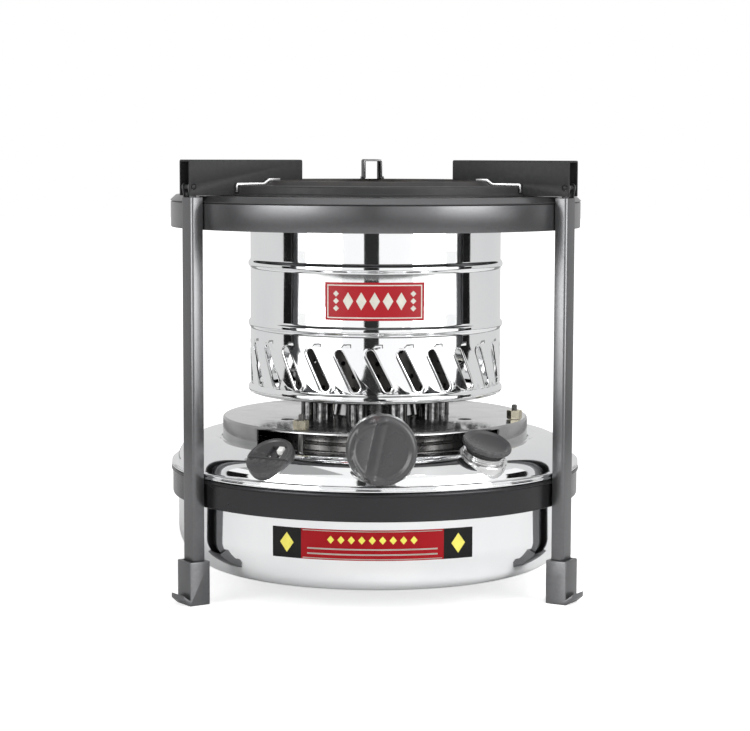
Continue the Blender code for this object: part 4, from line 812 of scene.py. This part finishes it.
def make_wicks():
    """Braided cotton with a slightly ragged, domed end."""
    profile = millimetres([(0.0, 24.0), (4.7, 24.0), (4.8, 25.0), (4.8, 121.2), (4.5, 122.0), (3.6, 122.4),
                           (1.8, 122.5), (0.0, 122.5)])
    fray_start = 121.0 * MM
    fray_depth = 0.5 * MM
    fray_scale = 900.0
    for index, place in enumerate(wick_places):
        solid = spun(profile, pin_ring)
        for vert in solid.verts:
            if vert.co.z > fray_start:
                vert.co.z -= fray_depth * abs(noise.noise(vert.co * fray_scale + Vector((index, 0.0, 0.0))))
        piece("wick_" + str(index + 1), moved(solid, at(place)), cotton, "wick_set")


def make_flame_ring():
    """The ring on the tubes, with an edge turned up on both sides."""
    path = millimetres([(31.0, 125.0), (54.5, 125.0), (54.5, 127.9), (54.2, 128.2), (53.6, 128.2),
                        (53.3, 127.9), (53.3, 126.2), (32.2, 126.2), (32.2, 127.9), (31.9, 128.2),
                        (31.3, 128.2), (31.0, 127.9)])
    holes = joined(rods(wick_hole, 123.0, 130.0, hole_ring, wick_places))
    ring = combined(plain_object("fine_flame_ring", spun(path, 120)), [holes])
    dressed(ring, dark_steel, "frame", ["flame_ring"])


def make_fixings():
    """Threaded clamp studs and chamfered nuts."""
    thread_start = 111.0
    thread_pitch = 0.7
    thread_turns = 14
    profile = [(0.0, 93.3), (1.9, 93.3), (1.9, thread_start)]
    for turn in range(thread_turns):
        height = thread_start + thread_pitch * turn
        profile += [(1.58, height + 0.5 * thread_pitch), (1.9, height + thread_pitch)]
    profile = millimetres(profile + [(1.5, 121.3), (1.2, 121.6), (0.0, 121.6)])
    low = 112.3
    high = 118.0
    blank = millimetres([(0.0, low), (4.5, low), (5.2, low + 0.7), (5.2, high - 0.7), (4.5, high),
                         (0.0, high)])
    for side, place in zip(("front", "right", "rear"), map(at, stud_places)):
        piece("clamp_stud_" + side, moved(spun(profile, pin_ring), place), dark_steel)
        nut = plain_object("fine_clamp_nut_" + side, rod(5.0, low, high, 6))
        combined(nut, [spun(blank, bush_ring)], "INTERSECT")
        combined(nut, [rod(stud_hole, 110.0, 120.0)])
        nut.data.transform(place)
        dressed(nut, brass, "frame", ["clamp_nut_" + side])


# Knob and shaft, with the knob's face in millimetres

knob_ring = 128
knob_radius = 21.6
knob_lean = radians(12.0)
knob_face = 12.0
rim_reach = 18.6
rim_bend = 3.0
dish_depth = 1.4
ridge_height = 8.722
ridge_crest = -7.4
ridge_gentle_side = (7.5, 1.6)
ridge_steep_side = (9.5, 0.9)
ridge_end = 21.2
ridge_fade = 3.4


def eased(share):
    return share * share * (3.0 - 2.0 * share)


def knob_height(x, y):
    """Height of the knob's face over its disc: a rolled rim, a dish and a ridge off the middle."""
    across = x * cos(knob_lean) - y * sin(knob_lean) - ridge_crest
    reach = hypot(x, y)
    bend = min(1.0, abs(reach - rim_reach) / rim_bend)
    if reach > rim_reach:
        face = knob_face - rim_bend * (1.0 - sqrt(max(0.0, 1.0 - bend * bend)))
    else:
        face = knob_face - dish_depth * eased(bend)
    width, power = ridge_gentle_side if across > 0.0 else ridge_steep_side
    ridge = max(0.0, 1.0 - abs(across) / width) ** power
    fade = min(1.0, max(0.0, (ridge_end - reach) / ridge_fade))
    return face + ridge_height * ridge * eased(fade)


def make_knob():
    """The knob: its back, its wall and a face drawn as heights over a fine polar grid."""
    turns = [TURN * i / knob_ring for i in range(knob_ring)]
    solid = bmesh.new()
    rings = [[solid.verts.new(polar(reach, turn, height)) for turn in turns]
             for reach, height in millimetres([(19.2, 8.0), (19.2, 0.0), (21.2, 0.0), (21.6, 0.4)])]
    steps = 40
    for step in range(steps):
        reach = knob_radius * (1.0 - (step / steps) ** 1.15)
        points = [(reach * cos(turn), reach * sin(turn)) for turn in turns]
        rings.append([solid.verts.new((x * MM, y * MM, knob_height(x, y) * MM)) for x, y in points])
    bridged(solid, rings)
    solid.faces.new(rings[-1])
    solid.faces.new(rings[0][::-1])
    whole = joined([solid, rod(7.0, 0.0, 9.0, bush_ring)])
    bmesh.ops.recalc_face_normals(whole, faces=whole.faces)
    place = at((0.0, -131.8 * MM, shaft_height)) @ laid
    piece("knob", moved(whole, place), plastic, "control")
    bush = millimetres([(2.9, 0.0), (3.5, 0.0), (3.7, 0.2), (3.7, 8.8), (3.5, 9.0), (2.9, 9.0)])
    along = shaft_line @ at((0.0, 0.0, 66.25 * MM))
    piece("shaft_bush", moved(spun(bush, bush_ring), along), brass)


# Drum

slot_count = 26
slot_lean = radians(27.0)
slot_radius = 2.7 * MM
slot_rise = 26.4 * MM
slot_middle = 148.8 * MM
slot_half_height = 14.5 * MM
slot_rim = ((0.0, -0.20), (0.2, 0.03), (0.5, 0.12), (0.9, 0.13), (1.4, 0.05), (1.9, 0.0), (2.4, 0.0))
slot_rim_margin = 0.12 * MM
lower_side_strength = 1.25
upper_side_strength = 0.75
side_steps = 10
end_steps = 8


def slot_outline(grow):
    """Points round a slanted slot in the unrolled wall, grown by a distance, from its lower right corner."""
    radius = slot_radius + grow
    half = 0.5 * (slot_rise - 2.0 * slot_radius) / cos(slot_lean)
    steps = side_steps - 2
    points = [(radius, half * (2.0 * step / steps - 1.0)) for step in range(steps)]
    turns = [0.0] + [radians(30.0 + 120.0 * step / end_steps) for step in range(end_steps + 1)]
    points += [(radius * cos(turn), half + radius * sin(turn)) for turn in turns]
    lean = Matrix.Rotation(slot_lean, 2)
    return [lean @ Vector(point) for point in both_ways(points)]


def cell_border():
    """The same number of points round the slot's cell, a leaning parallelogram."""
    pitch = TURN * drum_radius / slot_count
    slope = tan(slot_lean)
    points = []
    for step in range(side_steps):
        height = slot_half_height * (2.0 * step / side_steps - 1.0)
        points.append((0.5 * pitch - slope * height, height))
    for step in range(end_steps):
        points.append((0.5 * pitch - pitch * step / end_steps - slope * slot_half_height, slot_half_height))
    border = both_ways(points)
    return [Vector(point) for point in border[-1:] + border[:-1]]


def drum_wall_with_slots():
    """The drum's slotted zone: each slot has a pressed rim, stronger on its lower left side."""
    solid = bmesh.new()
    outlines = [(slot_outline(grow * MM), lift * MM) for grow, lift in slot_rim]
    border = cell_border()
    for index in range(slot_count):
        turn = FRONT + TURN * index / slot_count

        def on_wall(point, lift):
            angle = turn + point.x / drum_radius
            return solid.verts.new(polar(drum_radius + lift, angle, slot_middle + point.y))

        loops = [[on_wall(point, -drum_wall) for point in inner] for inner in (border, outlines[0][0])]
        for number, (points, lift) in enumerate(outlines):
            loop = []
            limit = slot_half_height - slot_rim_margin * (len(outlines) - number)
            for point in points:
                side = point.x * cos(slot_lean) + point.y * sin(slot_lean)
                strength = lower_side_strength if side < 0.0 else upper_side_strength
                kept = Vector((point.x, max(-limit, min(limit, point.y))))
                loop.append(on_wall(kept, lift * strength))
            loops.append(loop)
        loops.append([on_wall(point, 0.0) for point in border])
        bridged(solid, loops)
    return solid


def bead(middle):
    """A pressed bead round the drum, with a flattened crest."""
    wall = 82.8
    rise = 1.4
    half_width = 3.4
    steps = 16
    points = []
    for step in range(steps + 1):
        share = 2.0 * step / steps - 1.0
        proud = min(1.0, 0.625 * (1.0 + cos(pi * share)))
        points.append((wall + rise * proud, middle + half_width * share))
    return millimetres(points)


def make_drum():
    """The slotted zone, and the plain wall under and over it, which meet it point by point."""
    slot_foot = 134.3 * MM
    foot = rounded(millimetres([(77.8, 128.4), (78.6, 127.5), (80.6, 127.5), (82.4, 128.3)]), 0.5 * MM)
    lower = [point for point in foot + bead(130.9)[2:] if point[1] <= slot_foot + merge_distance]
    lower += millimetres([(81.9, 134.3), (81.9, 130.0), (79.0, 128.6), (77.8, 128.9)])
    upper = millimetres([(82.8, 163.3), (82.8, 166.0), (82.8, 169.0)]) + bead(173.7)
    upper += millimetres([(82.8, 190.0)]) + bead(212.9) + millimetres([(82.8, 225.0)])
    upper += rounded(millimetres([(82.8, 236.0), (82.8, 242.6), (53.6, 242.6)]), 3.0 * MM)
    upper += millimetres([(53.6, 241.7), (80.0, 241.7), (81.9, 239.6), (81.9, 200.0), (81.9, 163.3)])
    shift = tan(slot_lean) * slot_half_height / drum_radius
    middle = FRONT + 0.5 * TURN / slot_count
    segments = slot_count * end_steps
    parts = [drum_wall_with_slots(), spun(lower, segments, middle + shift, False),
             spun(upper, segments, middle - shift, False)]
    piece("drum", mended(joined(parts), 0.02 * MM), chrome, "burner")


def perforated(radius, wall, low, high, columns, rows, hole):
    """A sleeve whose wall is pierced by rows of round holes."""
    solid = bmesh.new()
    pitch = TURN * radius / columns
    rise = (high - low) / rows
    corners = [Vector((0.5 * pitch * x, 0.5 * rise * y))
               for x, y in ((1, -1), (1, 0), (1, 1), (0, 1), (-1, 1), (-1, 0), (-1, -1), (0, -1))]
    circle = [polar(hole, radians(45.0 * (i - 1))) for i in range(8)]
    for row in range(rows):
        for column in range(columns):
            turn = TURN * column / columns
            middle = low + rise * (row + 0.5)
            loops = []
            for points, lift in ((corners, -wall), (circle, -wall), (circle, 0.0), (corners, 0.0)):
                loops.append([solid.verts.new(polar(radius + lift, turn + point.x / radius, middle + point.y))
                              for point in points])
            bridged(solid, loops)
    return solid


def make_sleeves():
    """Both pierced sleeves with their plain ends, and the spreader over the inner one."""
    wall = 0.9
    low = 130.0
    flange = [(53.0, 240.5), (62.0, 240.5), (62.0, 241.4), (52.6, 241.4), (52.1, 240.9)]
    plain_end = [(33.4, 228.0), (32.5, 228.0)]
    for node, radius, high, columns, rows, end in (("outer_sleeve", 53.0, 236.0, 44, 13, flange),
                                                   ("inner_sleeve", 33.4, 224.0, 28, 12, plain_end)):
        inner = radius - wall
        foot = [(inner, 126.5), (radius, 126.5), (radius, low), (inner, low)]
        head = [(inner, high), (radius, high)] + end
        parts = [perforated(radius * MM, wall * MM, low * MM, high * MM, columns, rows, 1.7 * MM)]
        parts += [spun(millimetres(profile), 2 * columns) for profile in (foot, head)]
        piece(node, mended(joined(parts)), burnt_steel, "burner")
    path = rounded(millimetres([(35.8, 225.9), (35.8, 229.3), (19.7, 233.6), (0.0, 235.3)]), 1.4 * MM)
    path += rounded(millimetres([(0.0, 234.3), (19.7, 232.6), (34.8, 228.3), (34.8, 225.9)]), 0.6 * MM)
    piece("flame_spreader", spun(path, sleeve_ring), burnt_steel, "burner")


# Plain plates with a generic pattern

plate_lift = 0.05 * MM
ink_depth = 0.05 * MM


def wrapped(radius, wall, outline):
    """A thin plate on a round wall. Its outline is convex, in distance round the wall and height."""
    solid = bmesh.new()
    loops = [[solid.verts.new(polar(radius + lift, FRONT + across / radius, height))
              for across, height in outline] for lift in (0.0, wall)]
    solid.faces.new(loops[0][::-1])
    solid.faces.new(loops[1])
    bridged(solid, loops)
    return solid


def flats(length):
    return max(1, round(length / flat_length))


def strip(radius, wall, left, right, low, high):
    """A rectangular plate on a round wall, in short flats."""
    solid = bmesh.new()
    steps = flats(right - left)
    rows = []
    for step in range(steps + 1):
        angle = FRONT + (left + (right - left) * step / steps) / radius
        rows.append([solid.verts.new(polar(radius + lift, angle, height))
                     for lift, height in ((0.0, low), (wall, low), (wall, high), (0.0, high))])
    bridged(solid, rows)
    solid.faces.new(rows[0])
    solid.faces.new(rows[-1][::-1])
    bmesh.ops.recalc_face_normals(solid, faces=solid.faces)
    return solid


def frame_lines(radius, wall, left, right, low, high, width):
    bars = ((left, right, low, low + width), (left, right, high - width, high),
            (left, left + width, low + width, high - width),
            (right - width, right, low + width, high - width))
    return [strip(radius, wall, *bar) for bar in bars]


def lozenge(radius, wall, across, height, half_width, half_height):
    """A raised lozenge in a left and a right half, so that it lies close to the round wall."""
    halves = []
    for sign in (-1, 1):
        outline = [(across, height + half_height), (across + sign * half_width, height),
                   (across, height - half_height)]
        halves.append(wrapped(radius, wall, outline[::-sign]))
    return joined(halves)


def make_drum_plate():
    """The red plate on the drum, with plain lozenges and lines."""
    wall = 0.35 * MM
    radius = drum_radius + plate_lift
    half = drum_radius * radians(22.0)
    shift = -2.9 * MM
    left = shift - half
    right = shift + half
    plate = plain_object("plain_drum_plate", strip(radius, wall, left, right, 180.6 * MM, 204.5 * MM))
    dressed(plate, red_lacquer, "burner")
    radius += wall
    inset = 1.4 * MM
    ink = frame_lines(radius, ink_depth, left + inset, right - inset, 182.0 * MM, 203.1 * MM, 0.7 * MM)
    middle = 192.85 * MM
    ink += [lozenge(radius, ink_depth, shift + index * 8.4 * MM, middle, 3.3 * MM, 5.6 * MM)
            for index in range(-2, 3)]
    small = 1.9 * MM
    ink += [lozenge(radius, ink_depth, shift + side * 24.6 * MM, middle + index * 4.6 * MM, small, small)
            for side in (-1, 1) for index in (-1, 0, 1)]
    marks = plain_object("plain_drum_plate_marks", joined(ink))
    dressed(marks, cream_ink, "burner")


def make_tank_strip():
    """The black and red strip round the tank's wall, which follows its rounding at the foot."""
    shift = -5.3 * MM
    half = tank_radius * radians(28.0)
    low = 37.6 * MM
    high = 56.4 * MM
    square = 19.4 * MM
    red_end = half - square
    wall = 0.3 * MM

    def reach_at(height):
        if height >= tank_corner.y:
            return tank_radius
        return tank_corner.x + sqrt(tank_corner_radius ** 2 - (tank_corner.y - height) ** 2)

    def patch(left, right, foot, top, lift=0.0, thickness=wall):
        solid = bmesh.new()
        steps = flats(right - left)
        levels = flats(top - foot)
        heights = [foot + (top - foot) * level / levels for level in range(levels + 1)]
        grid = []
        for step in range(steps + 1):
            angle = FRONT + (shift + left + (right - left) * step / steps) / tank_radius
            grid.append([solid.verts.new(polar(reach_at(height) + lift + thickness, angle, height))
                         for height in heights])
        for first, last in zip(grid, grid[1:]):
            for level in range(levels):
                solid.faces.new((first[level], last[level], last[level + 1], first[level + 1]))
        bmesh.ops.solidify(solid, geom=list(solid.faces), thickness=thickness)
        bmesh.ops.recalc_face_normals(solid, faces=solid.faces)
        return solid

    red = plain_object("plain_tank_strip", patch(-red_end, red_end, low, high))
    dressed(red, red_print, "frame")
    ends = [patch(-half, -red_end, low, high), patch(red_end, half, low, high)]
    dressed(plain_object("plain_tank_strip_ends", joined(ends)), black_lacquer, "frame")
    lines = []
    for inset, foot, height in ((4.0, 40.8, 0.9), (4.0, 44.0, 0.9), (1.0, 38.2, 0.5), (1.0, 55.3, 0.5)):
        reach = red_end - inset * MM
        lines.append(patch(-reach, reach, foot * MM, (foot + height) * MM, wall, ink_depth))
    dressed(plain_object("plain_tank_strip_lines", joined(lines)), cream_ink, "frame")
    radius = tank_radius + wall
    mark_depth = 0.06 * MM
    marks = [lozenge(radius, mark_depth, shift + index * 6.4 * MM, 50.2 * MM, 2.2 * MM, 2.5 * MM)
             for index in range(-4, 5)]
    marks += [lozenge(radius, mark_depth, shift + side * (half - 0.5 * square), 47.2 * MM, 4.6 * MM, 6.2 * MM)
              for side in (-1, 1)]
    dressed(plain_object("plain_tank_strip_marks", joined(marks)), yellow_ink, "frame")


# Studio

world_fill = 0.42
floor_size = 8.0
flag_reach = 1.15
flag_step = radians(6.0)
wall_height = 2.4
ceiling_height = 1.3
ceiling_half_depth = 1.1
lamp_aim = Vector((0.0, 0.0, 0.14))

# Standing cards: name, angles from the front, level and height
standing_cards = (
    ("front", -11.5, 1.5, 0.02, wall_height), ("left", -91.0, -75.0, 0.0, 0.33),
    ("right", 75.0, 91.0, 0.0, 0.33), ("back", 91.0, 269.0, 0.70, wall_height),
    ("inner_left", -31.0, -11.5, 1.06, 0.75), ("inner_right", 1.5, 31.0, 1.06, 0.75),
)
# Cards overhead: name, left and right edge and level
top_cards = (("top_left", -2.2, -0.45, 0.40), ("top_right", 0.10, 2.2, 0.74))
# Cards on the floor: name, angles from the front and level
floor_cards = (("floor", -89.0, 89.0, 0.14), ("floor_back", 89.0, 271.0, 0.30))
# Lamps: name, azimuth, elevation, distance, width, height and power
lamps = (
    ("lamp_left", -48.0, 13.0, 2.2, 1.4, 1.2, 25.0),
    ("lamp_right", 46.0, 13.0, 2.2, 1.4, 1.2, 27.0),
    ("lamp_top", 50.0, 58.0, 2.0, 1.3, 1.0, 20.0),
)


def make_camera():
    forward = Vector((-sin(camera_azimuth) * cos(camera_elevation),
                      cos(camera_azimuth) * cos(camera_elevation), -sin(camera_elevation)))
    right = Vector((cos(camera_azimuth), sin(camera_azimuth), 0.0))
    up = right.cross(forward)
    level = right * cos(camera_roll) + up * sin(camera_roll)
    rise = -right * sin(camera_roll) + up * cos(camera_roll)
    eye = Vector((0.0, 0.0, camera_target_height)) + right * camera_target_shift - forward * camera_distance
    lens = bpy.data.cameras.new("camera")
    lens.sensor_width = sensor_width
    lens.lens = photo_focal / photo_width * sensor_width
    lens.clip_start = 0.01
    lens.clip_end = 50.0
    camera = bpy.data.objects.new("camera", lens)
    camera.matrix_world = Matrix([*zip(level, rise, -forward, eye), (0.0, 0.0, 0.0, 1.0)])
    bpy.context.collection.objects.link(camera)
    bpy.context.scene.camera = camera


def seen_rays(tree):
    """One for camera, glossy and transmission rays, else zero."""
    path = tree.nodes.new("ShaderNodeLightPath")
    total = path.outputs["Is Camera Ray"]
    for name in ("Is Glossy Ray", "Is Transmission Ray"):
        total = maths(tree, "MAXIMUM", total, path.outputs[name])
    return total


def make_world():
    world = bpy.data.worlds.new("studio")
    world.use_nodes = True
    tree = world.node_tree
    background = tree.nodes["Background"]
    background.inputs["Color"].default_value = white
    link(tree, ranged(tree, seen_rays(tree), 0.0, 1.0, world_fill, 1.0), background.inputs["Strength"])
    bpy.context.scene.world = world


def glowing(name, base):
    """A dull material of a grey's level, which glows white."""
    made, tree, shader = finish_base(name, 0.0, 0.0)
    shader.inputs["Base Color"].default_value = (base, base, base, 1.0)
    shader.inputs["Emission Color"].default_value = white
    return made, tree, shader


def make_floor():
    """A floor that fades into the white background, and glows dimmer near the stove: painted shade, seen
    directly and in reflections.
    """
    solid = bmesh.new()
    bmesh.ops.create_grid(solid, x_segments=1, y_segments=1, size=floor_size)
    floor = plain_object("studio_floor", moved(solid, at((0.0, 0.0, -0.1 * MM))))
    made, tree, shader = glowing("studio_floor", 0.80)
    shader.inputs["Roughness"].default_value = 0.9
    reach = length_of(tree, own_place(tree))
    # The glow rises with the distance from the stove, so that the floor near it is painted shade.
    reflected_painted_shade = ranged(tree, reach, 0.15, 3.0, 0.0, 0.95)
    plain = maths(tree, "MULTIPLY", seen_rays(tree), ranged(tree, reach, 0.4, 2.4, 0.62, 1.0))
    glossy = tree.nodes.new("ShaderNodeLightPath").outputs["Is Glossy Ray"]
    link(tree, blended(tree, glossy, plain, reflected_painted_shade, "FLOAT"), shader.inputs["Emission Strength"])
    floor.data.materials.append(made)


def card(name, solid, level):
    """A glowing card that only reflections see."""
    made = plain_object("studio_flag_" + name, solid)
    finish, _, shader = glowing(made.name, 0.01)
    shader.inputs["Emission Strength"].default_value = level
    made.data.materials.append(finish)
    made.visible_camera = False
    made.visible_diffuse = False
    made.visible_shadow = False
    made.visible_transmission = False


def flat_card(name, outline, height, level):
    solid = bmesh.new()
    solid.faces.new([solid.verts.new((x, y, height)) for x, y in outline])
    card(name, solid, level)


def make_cards():
    """Dark strips at the front and both sides, a grey surround behind and a dim ring on the floor."""
    for name, first, last, level, top in standing_cards:
        solid = bmesh.new()
        start = FRONT + radians(first)
        sweep = radians(last) - radians(first)
        steps = max(2, round(sweep / flag_step))
        angles = [start + sweep * step / steps for step in range(steps + 1)]
        low, high = [[solid.verts.new(polar(flag_reach, angle, height)) for angle in angles]
                     for height in (0.0, top)]
        for i in range(steps):
            solid.faces.new((low[i], low[i + 1], high[i + 1], high[i]))
        card(name, solid, level)
    front, back = -ceiling_half_depth, ceiling_half_depth
    for name, left, right, level in top_cards:
        flat_card(name, [(left, front), (right, front), (right, back), (left, back)], ceiling_height, level)
    for name, first, last, level in floor_cards:
        outline = ring_sector(1.14, 0.60, FRONT + radians(first), FRONT + radians(last))
        flat_card(name, outline, 0.5 * MM, level)


def make_lamps():
    for name, azimuth, elevation, distance, width, height, power in lamps:
        lamp = bpy.data.lights.new(name, "AREA")
        lamp.shape = "RECTANGLE"
        lamp.size = width
        lamp.size_y = height
        lamp.energy = power
        around, up = radians(azimuth), radians(elevation)
        towards = Vector((sin(around) * cos(up), -cos(around) * cos(up), sin(up)))
        holder = bpy.data.objects.new(name, lamp)
        holder.location = lamp_aim + towards * distance
        holder.rotation_euler = towards.to_track_quat("Z", "Y").to_euler()
        bpy.context.collection.objects.link(holder)


for make in (make_camera, make_world, make_floor, make_cards, make_lamps, make_legs, make_feet, make_bands,
             make_top_plate, make_slot_lips, make_pan_supports, make_hinge_pins, make_tank, make_filler,
             make_gauge, make_burner_base, make_burner_plate, make_wick_tubes, make_wicks, make_flame_ring,
             make_fixings, make_knob, make_drum, make_sleeves, make_drum_plate, make_tank_strip):
    make()

bpy.context.scene.view_settings.view_transform = "Standard"
